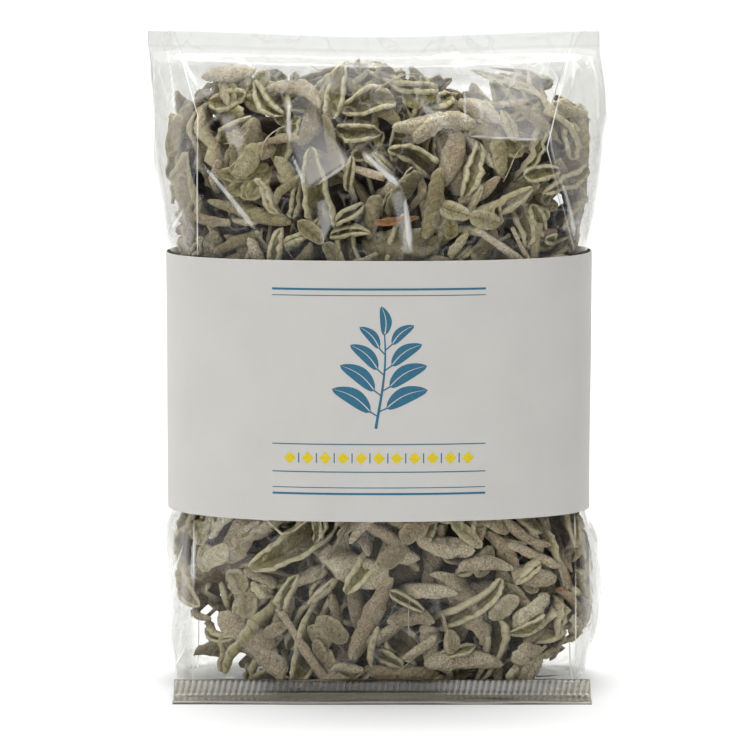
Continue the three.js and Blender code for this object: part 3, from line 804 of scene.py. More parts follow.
# The front's plain creases: where each starts and ends, across from the front's middle and up, and its strength.
FRONT_CREASES = (
    (-43, 139, -30, 121, 1.0), (-23, 157, -22, 143, 0.8), (-22, 143, -17, 132, 0.7), (-17, 132, -6, 140, 0.6),
    (-5, 143, 6, 132, 0.9), (6, 132, 8, 116, 1.0), (42, 150, 43, 136, 0.4), (43, 136, 51, 117, 0.8),
    (-55, 167, -46, 156, 0.7), (-59, 168, -52, 149, 0.6), (-62, 166, -58, 140, 0.6), (56, 168, 50, 154, 0.6),
    (61, 167, 56, 146, 0.7), (52, 167, 58, 158, 0.5), (-40, 166, -30, 161, 0.4), (12, 165, 27, 167, 0.5),
    (20, 146, 42, 144, 0.4), (24, 162, 21, 147, 0.35), (-48, 128, -57, 119, 0.6), (54, 130, 60, 118, 0.6),
    (-47, 44, -46, 27, 0.9), (-50, 40, -56, 28, 0.6), (55, 40, 50, 22, 0.6), (-46, 14, -54, 5, 0.5),
)


def drawn_creases(s, z, lift):
    """The plain creases of the front: their lift, and a painted highlight strap that falls evenly from 1 on a crease to
    its sides.
    """
    total, highlight_strap = np.zeros(s.shape), np.zeros(s.shape)
    across = WALL.across(s, WALL.front)
    for x0, z0, x1, z1, strength in FRONT_CREASES:
        length = math.hypot(x1 - x0, z1 - z0)
        along_x, along_z = (x1 - x0) / length, (z1 - z0) / length
        along = (across - x0) * along_x + (z - z0) * along_z
        off = (z - z0) * along_x - (across - x0) * along_z
        fade = unit(np.minimum(along + 1, length + 1 - along) / 5)
        total += lift * strength * fade * np.where(off > 0, unit(1 - off / 5), unit(1 + off / 1.4))
        width = 0.8 + 1.4 * strength * unit(along / length)
        highlight_strap = np.maximum(highlight_strap, 1 - np.abs(off) / width - 0.6 * (1 - fade) - 0.3 * (1 - strength))
    return total, highlight_strap


# Painted reflections: flat panels between the front's creases, painted milky white where they would catch the light:
# corners, across and up, the first two at the bright sharp side, then how strong each painted reflection is, how soft
# its other sides are and how far the light reaches in.
GLARE = (
    (((-10.5, 136.4), (-17.6, 132.4), (-22.9, 145.2), (-19.5, 152.6), (-14, 150.2), (-5.8, 139.6)), 0.8, 1.6, 17),
    (((-34, 141.5), (-38, 144.5), (-41, 150.5), (-37, 151.5), (-32.5, 145)), 0.7, 1.2, 11),
    (((45, 144), (21, 145.5), (19, 170), (55, 170)), 0.62, 7, 26),
    (((-11.3, 124), (-14, 118.5), (-15, 129), (-12.5, 130)), 0.75, 0.8, 14),
    (((5, 134.5), (3.8, 133), (-6.5, 144), (-4, 144.5)), 0.6, 0.8, 12),
    (((6.4, 116), (3, 131), (5.6, 132.5), (8.4, 116)), 0.6, 0.8, 12),
    (((-41, 157), (-50, 152), (-57, 168), (-47, 168)), 0.5, 4, 16),
)


def glare(s, z):
    """The painted reflection on the front's flat panels, as milkiness: brightest along one sharp side."""
    across, total = WALL.across(s, WALL.front), np.zeros(s.shape)
    for corners, strength, soft, reach in GLARE:
        inside, first = np.ones(s.shape), None
        for (x0, z0), (x1, z1) in zip(corners, corners[1:] + corners[:1]):
            within = ((x1 - x0) * (z0 - z) + (across - x0) * (z1 - z0)) / math.hypot(x1 - x0, z1 - z0)
            edge = SHARP if first is None else soft
            first = within if first is None else first
            inside = np.minimum(inside, smooth(within / edge + 0.5 * (edge < 1)))
        total = np.maximum(total, strength * inside * mix(1, 0.3, unit(first / reach)))
    return total


def film_rows(row):
    """Heights of the film's mesh lines: close together where it shows, and few where the sleeve hides it."""
    foot = [0, 0.35, 0.8, 1.4, 2.2]
    below = np.arange(3, HIDDEN[0], row)
    hidden = np.linspace(HIDDEN[0], HIDDEN[1], 14)
    above = np.arange(HIDDEN[1] + row, BAG_HEIGHT - 0.2, row)
    return np.concatenate([foot, below, hidden, above, [BAG_HEIGHT]])


def film_form(settings):
    """The film's points, row by row, with the mark of its creases."""
    rng = np.random.default_rng(settings.seed)
    columns = int(WALL.girth / (settings.column / MM))
    z = film_rows(settings.row / MM)
    s, z = np.meshgrid(np.arange(columns) / columns * WALL.girth, z)
    shown = unit((HIDDEN[0] - 2 - z) / 5) + unit((z - HIDDEN[1] - 2) / 5)
    high = rise(z, SLEEVE_HIGH, 20)
    still = shown * rise(z, 0, 6) * (1 - 0.75 * rise(z, *STILL_SPAN))
    lift_a, mark_a = facets(rng, s, z, COARSE_FACETS, settings.facet_lift / MM)
    lift_b, mark_b = facets(rng, s, z, FINE_FACETS, settings.facet_lift / MM * FINE_SHARE)
    lift_c, mark_c = sharp_creases(rng, s, z, settings.creases, settings.crease_lift / MM)
    lift_d, mark_d = drawn_creases(s, z, settings.crease_lift / MM)
    bulge = ring_noise(settings.seed + 3, s, 12, z / 24)
    out = (lift_a + lift_b) * (0.55 + 0.6 * high) + lift_c + lift_d + 0.35 * bulge
    plain = WALL.point(s, z, 0)
    x = plain[..., 0]
    gap = np.abs(x) - panel_edge(x, z)
    ridge = unit(1 - np.abs(gap) / RIDGE_REACH)
    out = out * still + RIDGE * ridge * still - bell(gap, *HOLLOW_SPAN) * HOLLOW * still
    out = out - 0.25 * (1 - shown)
    for level in WELD_HEIGHTS:
        out = out + 0.03 * unit(1 - np.abs(z - level) / 0.7)
    out = np.minimum(out, FURTHEST)
    inset = BASE_EDGE * (1 - unit(z / 3)) ** 2
    points = WALL.point(s, z, inset - out)
    points[..., 1] *= mix(1, LIP_PINCH, rise(z, *LIP_SPAN))
    gusset = rise(gap, *SIDE_SPAN) * shown * mix(SIDE_MARK, 1.0, high)
    gusset = gusset * (1 - 0.55 * rise(z, *SIDE_FADE))
    painted_shade_veil = rise(z, *VEIL_START) * fall(z, *VEIL_END) * fall(gap, *VEIL_EDGE)
    welds = sum(WELD_MARK * bell(z, level, 0.3) for level in WELD_HEIGHTS) * patchy(s, z + 40) * shown
    creases = [GLARE_MARK * glare(s, z), mark_a * CREASE_MARK, mark_b * FINE_MARK, mark_c * CREASE_MARK, welds]
    marks = {"crease": np.maximum.reduce(creases), "gusset": np.maximum(gusset, painted_shade_veil),
             "line": patchy(s, z) * shown, "highlight_strap": mark_d, "shade": painted_shade_veil}
    points[-1, :, 1] *= 0.5
    return points, marks


def patchy(s, z):
    """A mask that breaks a line up along its length."""
    return unit(0.7 + 0.6 * ring_noise(23, s, 20, z / 9))


BASE_RINGS = (0.9, 0.72, 0.5, 0.26)  # shares of the base's depth
BASE_LINE = 34  # half the length of the base's middle line


def seam(ring, facing_up=False):
    """Joins each point of a ring to its mirror image across the ring's middle line."""
    half = len(ring) // 2
    left, right = ring[1:half], ring[-1:half:-1]
    n = min(len(left), len(right))
    corners = [left[: n - 1], right[: n - 1], right[1:n], left[1:n]]
    ends = [[ring[0], right[0], left[0]], [ring[half], left[n - 1], right[n - 1]]]
    if facing_up:
        corners = corners[:1] + corners[:0:-1]
        ends = [[a, c, b] for a, b, c in ends]
    return [np.stack(corners, -1), np.array(ends)]


def film_base(points):
    """Closes the foot of the film with rings that draw in to its middle line, and the mouth with a seam."""
    rows, columns = points.shape[:2]
    flat = [points.reshape(-1, 3)]
    faces = [grid_faces(rows, columns)]
    start = rows * columns
    last = np.arange(columns)
    for k, share in enumerate(BASE_RINGS):
        ring = points[0].copy()
        ring[:, 0] = mix(ring[:, 0], np.clip(ring[:, 0], -BASE_LINE, BASE_LINE), 1 - share)
        ring[:, 1] *= share
        ring[:, 2] = 0.05 + 0.25 * (k % 2)
        flat.append(ring)
        here = start + np.arange(columns)
        faces.append(np.stack([here, np.roll(here, -1), np.roll(last, -1), last], -1))
        last, start = here, start + columns
    faces += seam(last) + seam((rows - 1) * columns + np.arange(columns), facing_up=True)
    return np.concatenate(flat), [np.concatenate([f for f in faces if f.shape[1] == size]) for size in (4, 3)]


class SAGE_OT_film_bag(bpy.types.Operator):
    """Build the clear film bag"""

    bl_idname = "mesh.sage_film_bag"
    bl_label = "Film bag"
    bl_options = {"REGISTER", "UNDO"}

    def execute(self, context):
        settings = context.scene.sage_film
        form, marks = film_form(settings)
        points, faces = film_base(form)
        spare = np.zeros(len(points) - form[..., 0].size)
        marks = {key: np.concatenate([mark.ravel(), spare]) for key, mark in marks.items()}
        material = film_material("clear_film", settings, settings.clear, settings.haze)
        add_piece("bag_film", "clear_film", "film_bag", points, faces, material, marks=marks)
        return {"FINISHED"}


# ------------ the crimped seal at the foot of the front

RAMP_DEPTH = 4.5
FLAP_DEPTH = RAMP_DEPTH + 7.0
LEDGE = 1.6
CRIMP_PITCH = 1.55
CRIMP_HEIGHT = 0.26


def seal_profile():
    """Side view of the flap's upper face, from its front edge to the bag: distance in front of the base, height."""
    return [(FLAP_DEPTH, 0.28), (FLAP_DEPTH - 0.7, 0.62), (9.4, 0.72), (7.2, 0.8), (5.4, 0.95), (RAMP_DEPTH, 1.25),
            (4.1, 1.9), (3.5, 2.6), (2.9, 3.3), (2.3, 3.9), (LEDGE, 4.25), (0.9, 4.3), (0.1, 4.2)]


class SAGE_OT_seal_flap(bpy.types.Operator):
    """Build the crimped seal flap that lies on the floor in front of the bag"""

    bl_idname = "mesh.sage_seal_flap"
    bl_label = "Seal flap"
    bl_options = {"REGISTER", "UNDO"}

    def execute(self, context):
        settings = context.scene.sage_film
        step = 0.31
        x = np.arange(-BASE_HALF_WIDTH + 0.2, BASE_HALF_WIDTH + 1.6, step)
        profile = seal_profile()
        fine = []
        for (d0, h0), (d1, h1) in zip(profile, profile[1:]):
            fine += [(mix(d0, d1, t), mix(h0, h1, t)) for t in (0, 0.5)]
        fine.append(profile[-1])
        upper, under, marks = [], [], []
        for out, height in fine:
            on_ramp = rise(out, 1.2, 0.8) * fall(out, RAMP_DEPTH + 0.9, 0.8)
            teeth = 0.5 - 0.5 * np.cos(TAU * (x + 0.3 * out) / CRIMP_PITCH)
            wave = 0.28 * noise(31, x / 13, out / 6) * rise(out, RAMP_DEPTH, 3)
            lift = CRIMP_HEIGHT * (teeth - 0.5) * on_ramp + wave
            y = -BASE_HALF_DEPTH - out + 0.35 * noise(32, x / 17, 0) * rise(out, 7, 4)
            z = np.maximum(height + lift * 0.8, 0.16)
            upper.append(np.stack([x, y - lift * 0.35 * on_ramp, z], -1))
            low = np.full(x.shape, 0.02) if out > RAMP_DEPTH - 0.5 else np.maximum(z - 0.5, 0.02)
            under.append(np.stack([x, y + 0.1 * on_ramp, np.minimum(low, z - 0.12)], -1))
            line = bell(out, RAMP_DEPTH + 0.4, 0.3)
            drawn = unit(noise(33, x / 11, out * 1.7)) * rise(out, 5, 0.5)
            lip = 0.6 * rise(out, 4.8, 0.8)
            # The crimp's milkiness grows towards both ends as painted light, leaving the middle clear and dark; the
            # glint is a painted glint along the flap's top edge.
            painted_rib_light = 0.05 + 0.85 * fall(x, -24, 10) + 0.8 * rise(x, 10, 14)
            front = 0.7 * bell(out, FLAP_DEPTH - 0.5, 0.4)
            glint = unit(3 * noise(34, x / 5, out * 2.2) - 0.9)
            glint = glint * fall(out, 2.6, 0.8)
            marks.append(painted_rib_light * on_ramp * teeth + 0.5 * line + lip * (1 - 1.4 * drawn) + front + 0.8 * glint
                         + 0.35 * painted_rib_light * on_ramp)
        loop = np.array(upper + under[::-1])
        rows, columns = loop.shape[:2]
        points = loop.reshape(-1, 3)
        i, j = np.meshgrid(np.arange(rows), np.arange(columns - 1), indexing="ij")
        k = (i + 1) % rows
        i, k = i * columns + j, k * columns + j
        quads = np.stack([i, i + 1, k + 1, k], -1).reshape(-1, 4)
        half = rows // 2
        ends = []
        for column, turned in ((0, True), (columns - 1, False)):
            line = [r * columns + column for r in range(rows)]
            for r in range(half - 1):
                quad = [line[r], line[rows - 1 - r], line[rows - 2 - r], line[r + 1]]
                ends.append(quad[::-1] if turned else quad)
        top_marks = np.array(marks)
        crease = np.concatenate([top_marks, np.zeros(top_marks.shape)]).ravel()
        material = film_material("crimped_film", settings, settings.crimped, 0.02, crumple=0.05, folds=0.0)
        faces = [np.concatenate([quads, np.array(ends)])]
        add_piece("bag_film", "clear_film", "seal_flap", points, faces, material, marks={"crease": crease * 0.6})
        return {"FINISHED"}


# ------------ the paper sleeve and its print

SLEEVE_INNER = 0.6  # from the film to the paper's inner face
PAPER_SINK, PAPER_WAVE = 0.12, 0.14  # how far the plain paper lies inside that, and how far it waves
EDGE_DRIFT, EDGE_SLACK = 0.12, 0.2  # how far the paper's cut edges wander, and may reach beyond the solid's
LAP_GAP, LAP_RISE = 0.06, (-12, 11)  # the glue under the overlap, and the span over which the paper climbs on to it


def sleeve_point(s, z, outset):
    """A point outside the sleeve's own section, which is the same at every height."""
    at = WALL.point(s, np.full(np.shape(s), SLEEVE_MIDDLE), -np.asarray(outset, float))
    at[..., 2] = z
    return at


def paper_inner(s, z):
    """How far the paper's inner face stands off the film, with its slight unevenness."""
    wave = np.clip(PAPER_WAVE * ring_noise(41, s, 9, z / 30), -0.1, 0.12)
    return SLEEVE_INNER - PAPER_SINK + wave


class SAGE_OT_paper_sleeve(bpy.types.Operator):
    """Build the paper sleeve, one strip whose glued end lies over its start at the back"""

    bl_idname = "mesh.sage_paper_sleeve"
    bl_label = "Paper sleeve"
    bl_options = {"REGISTER", "UNDO"}

    def execute(self, context):
        settings = context.scene.sage_sleeve
        thickness, lap = settings.thickness / MM, settings.lap / MM
        back = WALL.girth / 4
        start, end = back - lap / 2, back + lap / 2
        # The strip starts under the overlap's far end, runs on round the front and ends over its own start.
        s = np.concatenate([np.linspace(end, start + WALL.girth, 300)[:-1],
                            np.linspace(start + WALL.girth, end + WALL.girth, 30)])
        s = np.concatenate([np.linspace(start, end, 30)[:-1], s])
        over = rise(s, start + WALL.girth + LAP_RISE[0], LAP_RISE[1]) * (thickness + LAP_GAP)
        z = np.concatenate([[SLEEVE_LOW, SLEEVE_LOW + 0.15], np.linspace(SLEEVE_LOW + 1.5, SLEEVE_HIGH - 1.5, 26),
                            [SLEEVE_HIGH - 0.15, SLEEVE_HIGH]])
        ss, zz = np.meshgrid(s, z)
        drift = EDGE_DRIFT * ring_noise(43, ss, 6, 0)
        level = zz + drift * np.where(zz > SLEEVE_MIDDLE, 1, -1) * rise(np.abs(zz - SLEEVE_MIDDLE), 0, 30)
        level = np.clip(level, SLEEVE_LOW - EDGE_SLACK, SLEEVE_HIGH + EDGE_SLACK)
        inner = paper_inner(ss, zz) + over
        outer = sleeve_point(ss, level, inner + thickness)
        under = sleeve_point(ss, level, inner)
        rows, columns = ss.shape
        points = np.concatenate([outer.reshape(-1, 3), under.reshape(-1, 3)])
        count = rows * columns
        front = grid_faces(rows, columns, closed=False)
        faces = [front, front[:, ::-1] + count]
        low, first = np.arange(columns), np.arange(rows) * columns
        for line, turned in ((low, False), (low + count - columns, True), (first, True), (first + columns - 1, False)):
            quad = np.stack([line[1:], line[:-1], line[:-1] + count, line[1:] + count], -1)
            faces.append(quad[:, ::-1] if turned else quad)
        faces, paper = [np.concatenate(faces)], paper_material(settings)
        add_piece("paper_sleeve", "sleeve_paper", "paper_sleeve_band", points, faces, paper)
        return {"FINISHED"}


def sideways(way):
    """Unit vectors square to the given ones, on their left."""
    way = way / np.maximum(np.linalg.norm(way, axis=1, keepdims=True), 1e-9)
    return np.stack([-way[:, 1], way[:, 0]], -1)


class Print:
    """Collects flat printed shapes, drawn in mm across and up from the middle of the sleeve's front."""

    LIFT = 0.03
    SUNK = 0.05

    def __init__(self, paper):
        self.paper, self.points, self.quads = paper, [], []

    def strip(self, left, right):
        """A shape between two lines of points that run side by side."""
        left, right = np.asarray(left, float), np.asarray(right, float)
        count = len(left)
        base = sum(len(p) for p in self.points)
        for outset in (self.LIFT, -self.SUNK):
            for line in (left, right):
                s, z = WALL.front + line[:, 0], SLEEVE_MIDDLE + line[:, 1]
                self.points.append(sleeve_point(s, z, paper_inner(s, z) + self.paper + outset))
        a, b, c, d = (base + k * count + np.arange(count) for k in range(4))
        for p, q in ((a, b), (d, c), (b, d), (c, a)):
            self.quads.append(np.stack([p[:-1], q[:-1], q[1:], p[1:]], -1))
        for k in (0, count - 1):
            cap = [a[k], c[k], d[k], b[k]]
            self.quads.append(np.array([cap if k == 0 else cap[::-1]]))

    def stroke(self, path, width):
        """A line of the given width, or of a width for each of its points."""
        path = np.asarray(path, float)
        off = sideways(np.gradient(path, axis=0)) * np.broadcast_to(np.asarray(width, float) / 2, len(path))[:, None]
        self.strip(path + off, path - off)

    def leaf(self, foot, turn, length, width):
        """A rounded printed leaf in two halves, with its rib left bare."""
        t = np.linspace(0, 1, 14)
        along = np.stack([np.cos(turn), np.sin(turn)]) * (t * length)[:, None]
        half = width / 2 * np.sin(math.pi * t**0.9) ** 0.62 + 0.02
        rib = np.minimum(0.16, half * 0.5) * (1 - t) ** 0.5
        bow = 0.1 * length * np.sin(math.pi * t) * math.copysign(1, math.cos(turn))
        across = np.array([-math.sin(turn), math.cos(turn)])
        middle = np.asarray(foot) + along + across * bow[:, None]
        self.strip(middle + across * half[:, None], middle + across * rib[:, None])
        self.strip(middle - across * rib[:, None], middle - across * half[:, None])


def printed_shapes(thickness):
    """The sleeve's plain ornament: a blue sprig between thin rules, over a band of small yellow lozenges."""
    blue, yellow = Print(thickness), Print(thickness)
    reach, thick_rule, thin_rule, band_rule = 27.0, 0.55, 0.22, 0.28
    line = np.linspace(-reach, reach, 28)
    rule = lambda height, width: blue.stroke(np.stack([line, np.full(line.shape, height)], -1), width)
    for height, width in ((26.5, thick_rule), (24.9, thin_rule), (-24.9, thin_rule), (-26.5, thick_rule)):
        rule(height, width)
    stem = np.linspace(0, 1, 24)
    foot, tip = -9.5, 21.0
    bend = lambda share: 1.6 * math.sin(2.6 * share - 0.5)
    blue.stroke(np.stack([[bend(q) for q in stem], mix(foot, tip - 6, stem)], -1), 0.75 - 0.4 * stem)
    for k, size in enumerate((11.5, 11, 9.5, 7.5)):
        share = (k + 0.7) / 4.6
        for side in (1, -1):
            turn = math.pi / 2 - side * mix(1.15, 0.7, share) - 0.06
            base = np.array([bend(share), mix(foot, tip - 6, share) + side * 0.6])
            away = base + 2.2 * np.array([math.cos(turn), math.sin(turn)])
            blue.stroke([base, mix(base, away, 0.5), away + (away - base) * 0.15], 0.36)
            blue.leaf(away, turn, size, size * 0.37)
    blue.leaf((bend(1), tip - 6.4), math.pi / 2 + 0.1, 7.6, 2.9)
    step, band, lozenge, bar = 4.5, -17.2, 1.55, 1.3
    corners = np.array([(-lozenge, 0), (0, lozenge), (lozenge, 0)])
    for k in range(-5, 6):
        middle = np.array([k * step, band])
        yellow.strip(middle + corners, middle + corners * (1, -1))
    for k in range(-5, 5):
        middle = np.array([(k + 0.5) * step, band])
        blue.stroke(middle + np.array([(0, -bar), (0, 0), (0, bar)]), band_rule)
    for height in (-13.6, -20.8):
        rule(height, band_rule)
    return blue, yellow


class SAGE_OT_sleeve_print(bpy.types.Operator):
    """Print a plain ornament on the sleeve's front"""

    bl_idname = "mesh.sage_sleeve_print"
    bl_label = "Sleeve print"
    bl_options = {"REGISTER", "UNDO"}

    def execute(self, context):
        settings = context.scene.sage_sleeve
        shapes = printed_shapes(settings.thickness / MM)
        for name, shape, colour in zip(("print_blue", "print_yellow"), shapes, (settings.ink, settings.accent)):
            points, faces = np.concatenate(shape.points), [np.concatenate(shape.quads)]
            ink = ink_material(name, colour)
            add_piece("paper_sleeve", "sleeve_paper", name, points, faces, ink, shade_smooth=False)
        return {"FINISHED"}


# ------------ one leaf

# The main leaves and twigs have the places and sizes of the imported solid's.
SOLID_SEED = 25
FLAT_LEAVES, RAISED_LEAVES, TOP_LEAVES, BASE_LEAVES, TWIGS = 52, 54, 17, 5, 5
TRIES = 16
FILL_LOW, FILL_HIGH, FILL_TOP = 6, 147, 163
CORE_INSET, CORE_LOW = 9.5, 6
ROOT_DEPTH, TIP_DEPTH = 2, 2.2
LEAF_LENGTHS = (18, 34)
LEAF_SLIMNESS = (0.3, 0.42)
FOLDS = (0.25, 0.75)
BENDS = (-0.175, 0.325)
ROLL = 0.45
STEP_ROUND, STEP_UP = 0.7548776662, 0.569840291
ALONG = (-0.35, 0, 0.35)  # places along a leaf that keep other leaves off
KEPT_OFF = 0.55  # how far they do, as a share of the leaf's width
HIDDEN_LOW, HIDDEN_HIGH = SLEEVE_LOW + 7, SLEEVE_HIGH - 7
CLEARANCE = 1.15  # from the film to any leaf
BESIDE, CORNER = (43, 9), (136, 24)  # where the bag's sides start, across, and its upper corners, up
SIDE_ROOM, CORNER_ROOM = 0.7, 3.4  # what each adds to the clearance
HEAP_TOP, HEAP_SWAY, CORNER_DROP = 158.5, 5.5, 5  # the heap's top, how uneven it is, and its fall to the corners
LEFT_FOOT, RIGHT_FOOT = -34, 46  # across: from here outwards the fill is open at the foot


LEAF_MARKS = ("vein", "upper", "rim", "rib", "tone", "wood", "deep")


def leaf_marks(size, **given):
    """Each mark of a leaf's points: one value for all of them, or one for each, and 0 where none is given."""
    return {mark: np.full(size, given.get(mark, 0.0)) for mark in LEAF_MARKS}


class Blade:
    """A felted leaf as a closed skin in its own frame: along x, across y, and z outwards."""

    def __init__(self, points, quads, triangles, marks):
        self.points, self.quads, self.triangles, self.marks = points, quads, triangles, marks

    def moved(self, points):
        return Blade(points, self.quads, self.triangles, self.marks)


def leaf_profile(t, blunt, skew):
    """Share of the full width at a share t of the leaf's length."""
    body = unit(4 * t * (1 - t)) ** blunt
    return body * (1 - skew * (t - 0.42))


def section_curve(fold, curl, roll, steps):
    """One side of a leaf's section from its rib to its margin: y, z and the direction, for a half width of 1."""
    v = np.linspace(0, 1, steps)
    fine = np.linspace(0, 1, 61)
    angle = fold + curl * fine + roll * rise(fine, 0.62, 0.38)
    y = np.concatenate([[0], np.cumsum((np.cos(angle[1:]) + np.cos(angle[:-1])) / 2) / 60])
    z = np.concatenate([[0], np.cumsum((np.sin(angle[1:]) + np.sin(angle[:-1])) / 2) / 60])
    return np.interp(v, fine, y), np.interp(v, fine, z), np.interp(v, fine, angle)


def make_blade(rng, length, width, fold=0.4, curl=0.6, roll=0.8, bend=0.1, sweep=0.0, twist=0.0, ripple=0.1,
               blunt=0.45, skew=0.4, felt=1.1, upper_out=0.0, tone=0.5, rib=0.6, wood=0.0, fine=1.0):
    """A leaf: folded at its rib, curled across, rolled at its margins, bent along its length."""
    stations = int(np.clip(length / 0.95 * fine, 9, 30))
    steps = int(np.clip(width / 1.35 * fine, 4, 7))
    t = 0.5 - 0.5 * np.cos(np.linspace(0, math.pi, stations))
    t = mix(t, np.linspace(0, 1, stations), 0.2)
    half = width / 2 * leaf_profile(t, blunt + 0.04, skew)
    half = half * (1 + 0.13 * noise(rng.integers(1 << 30), t * length / 3.4, 0)
                   + 0.08 * noise(rng.integers(1 << 30), t * length / 1.5, 0))
    sides = []
    for _ in range(2):
        wild = rng.normal(1, 0.16)
        sides.append(section_curve(fold, curl * wild, roll * wild, steps))
    (yl, zl, al), (yr, zr, ar) = sides
    y = np.concatenate([-yl[::-1], yr[1:]])
    z = np.concatenate([zl[::-1], zr[1:]])
    angle = np.concatenate([-al[::-1], ar[1:]])
    v = np.linspace(-1, 1, len(y))
    count = len(y)
    phase = rng.uniform(0, TAU, 3)
    waves = rng.uniform(2.2, 4.5)
    waving = np.sin(waves * TAU * t[:, None] + phase[0] + 2.0 * v)
    waving = waving + 0.6 * np.sin(2.3 * waves * TAU * t[:, None] + phase[2] - 3.0 * v)
    wave = 1.2 * ripple * waving * np.abs(v) ** 1.5
    centre_y = y * half[:, None]
    centre_z = z * half[:, None] + wave * half[:, None]
    crumple = noise(rng.integers(1 << 30), t[:, None] * length / 4.2 + 8, centre_y / 3.4 + 40)
    pucker = noise(rng.integers(1 << 30), t[:, None] * length / 1.9 + 8, centre_y / 1.8 + 40)
    centre_z = centre_z + crumple * 0.16 * np.minimum(width, 8) + 0.24 * pucker
    ny, nz = -np.sin(angle), np.cos(angle)
    thick = felt / 2 * (0.35 + 0.65 * leaf_profile(t, 0.4, 0.1))[:, None] * (0.82 + 0.3 * np.abs(v) ** 3)
    lumps = rng.normal(0, 0.085, (2, stations, count))
    vein_place = t[:, None] * length + 0.9 * np.abs(v) * half[:, None]
    lumps += rng.uniform(0.03, 0.15) * np.sin(TAU * vein_place / rng.uniform(2.1, 3.0))
    out = thick + lumps[0] * np.minimum(1, half[:, None])
    into = thick + lumps[1] * np.minimum(1, half[:, None])
    keel = 0.28 * bell(v, 0, 0.13) * rib
    out = out - keel * (1 if upper_out > 0.5 else -0.7)
    into = into + keel * (0.7 if upper_out > 0.5 else -1) * 0.6
    upper_y, upper_z = centre_y + ny * out, centre_z + nz * out
    lower_y, lower_z = centre_y - ny * into, centre_z - nz * into
    ty, tz = np.cos(angle), np.sin(angle)
    rim = thick * 0.95
    right = (centre_y[:, -1:] + ty[-1] * rim[:, -1:], centre_z[:, -1:] + tz[-1] * rim[:, -1:])
    left = (centre_y[:, :1] - ty[0] * rim[:, :1], centre_z[:, :1] - tz[0] * rim[:, :1])
    loop_y = np.concatenate([upper_y, right[0], lower_y[:, ::-1], left[0]], 1)
    loop_z = np.concatenate([upper_z, right[1], lower_z[:, ::-1], left[1]], 1)
    turn = twist * (t - 0.5)[:, None]
    ly = loop_y * np.cos(turn) - loop_z * np.sin(turn)
    lz = loop_y * np.sin(turn) + loop_z * np.cos(turn)
    s_bend = rng.normal(0, 0.02) * length * np.sin(TAU * t)
    spine_y = sweep * length * (0.25 - (t - 0.5) ** 2) + s_bend
    spine_z = bend * length * (0.25 - (t - 0.5) ** 2) + rng.normal(0, 0.03) * length * np.sin(TAU * t + phase[1])
    px = np.broadcast_to(((t - 0.5) * length)[:, None], ly.shape)
    points = np.stack([px, ly + spine_y[:, None], lz + spine_z[:, None]], -1)
    size = points.shape[1]
    flat = points.reshape(-1, 3)
    tips = np.array([points[0].mean(0) - (0.25, 0, 0), points[-1].mean(0) + (0.25, 0, 0)])
    flat = np.concatenate([flat, tips])
    shown = np.concatenate([np.ones(count), [0.5], np.zeros(count), [0.5]])
    upper = np.where(shown > 0.4, upper_out, 1 - upper_out)
    loop_v = np.concatenate([v, [1], v[::-1], [-1]])
    ends = np.abs(2 * t - 1)[:, None] ** 6
    rim_mark = unit(np.maximum((np.abs(loop_v) - 0.62) / 0.33, ends * 0.8)) ** 1.3
    rim_mark = rim_mark * (0.45 + 0.55 * upper_out)
    # The rib mark is painted shade along the rib, strongest in the upper side's groove.
    rib_mark = bell(loop_v, 0, 0.1) * rib * np.where(upper > 0.5, 1.0, 0.25)
    spread = lambda values: np.concatenate([np.broadcast_to(values, (stations, size)).ravel(), np.full(2, 0.3)])
    veins = spread(t[:, None] * length + 0.9 * np.abs(loop_v) * half[:, None])
    marks = leaf_marks(len(flat), vein=veins, upper=spread(upper), rim=spread(rim_mark),
                       rib=spread(rib_mark * (1 - ends)), tone=tone, wood=wood)
    return Blade(flat, *tube_faces(stations, size), marks)


def joined(blades):
    """Several blades as one."""
    points, quads, triangles, start = [], [], [], 0
    for blade in blades:
        points.append(blade.points)
        quads.append(blade.quads + start)
        triangles.append(blade.triangles + start)
        start += len(blade.points)
    marks = {key: np.concatenate([b.marks[key] for b in blades]) for key in blades[0].marks}
    return Blade(np.concatenate(points), np.concatenate(quads), np.concatenate(triangles), marks)


def turned(blade, about_z=0.0, tilt=0.0, roll=0.0, shift=(0, 0, 0)):
    """The blade rolled about its length, tilted up and turned in its plane, then moved."""
    x, y, z = blade.points.T
    y, z = y * math.cos(roll) - z * math.sin(roll), y * math.sin(roll) + z * math.cos(roll)
    x, z = x * math.cos(tilt) - z * math.sin(tilt), x * math.sin(tilt) + z * math.cos(tilt)
    x, y = x * math.cos(about_z) - y * math.sin(about_z), x * math.sin(about_z) + y * math.cos(about_z)
    blade.points = np.stack([x, y, z], -1) + np.asarray(shift, float)
    return blade


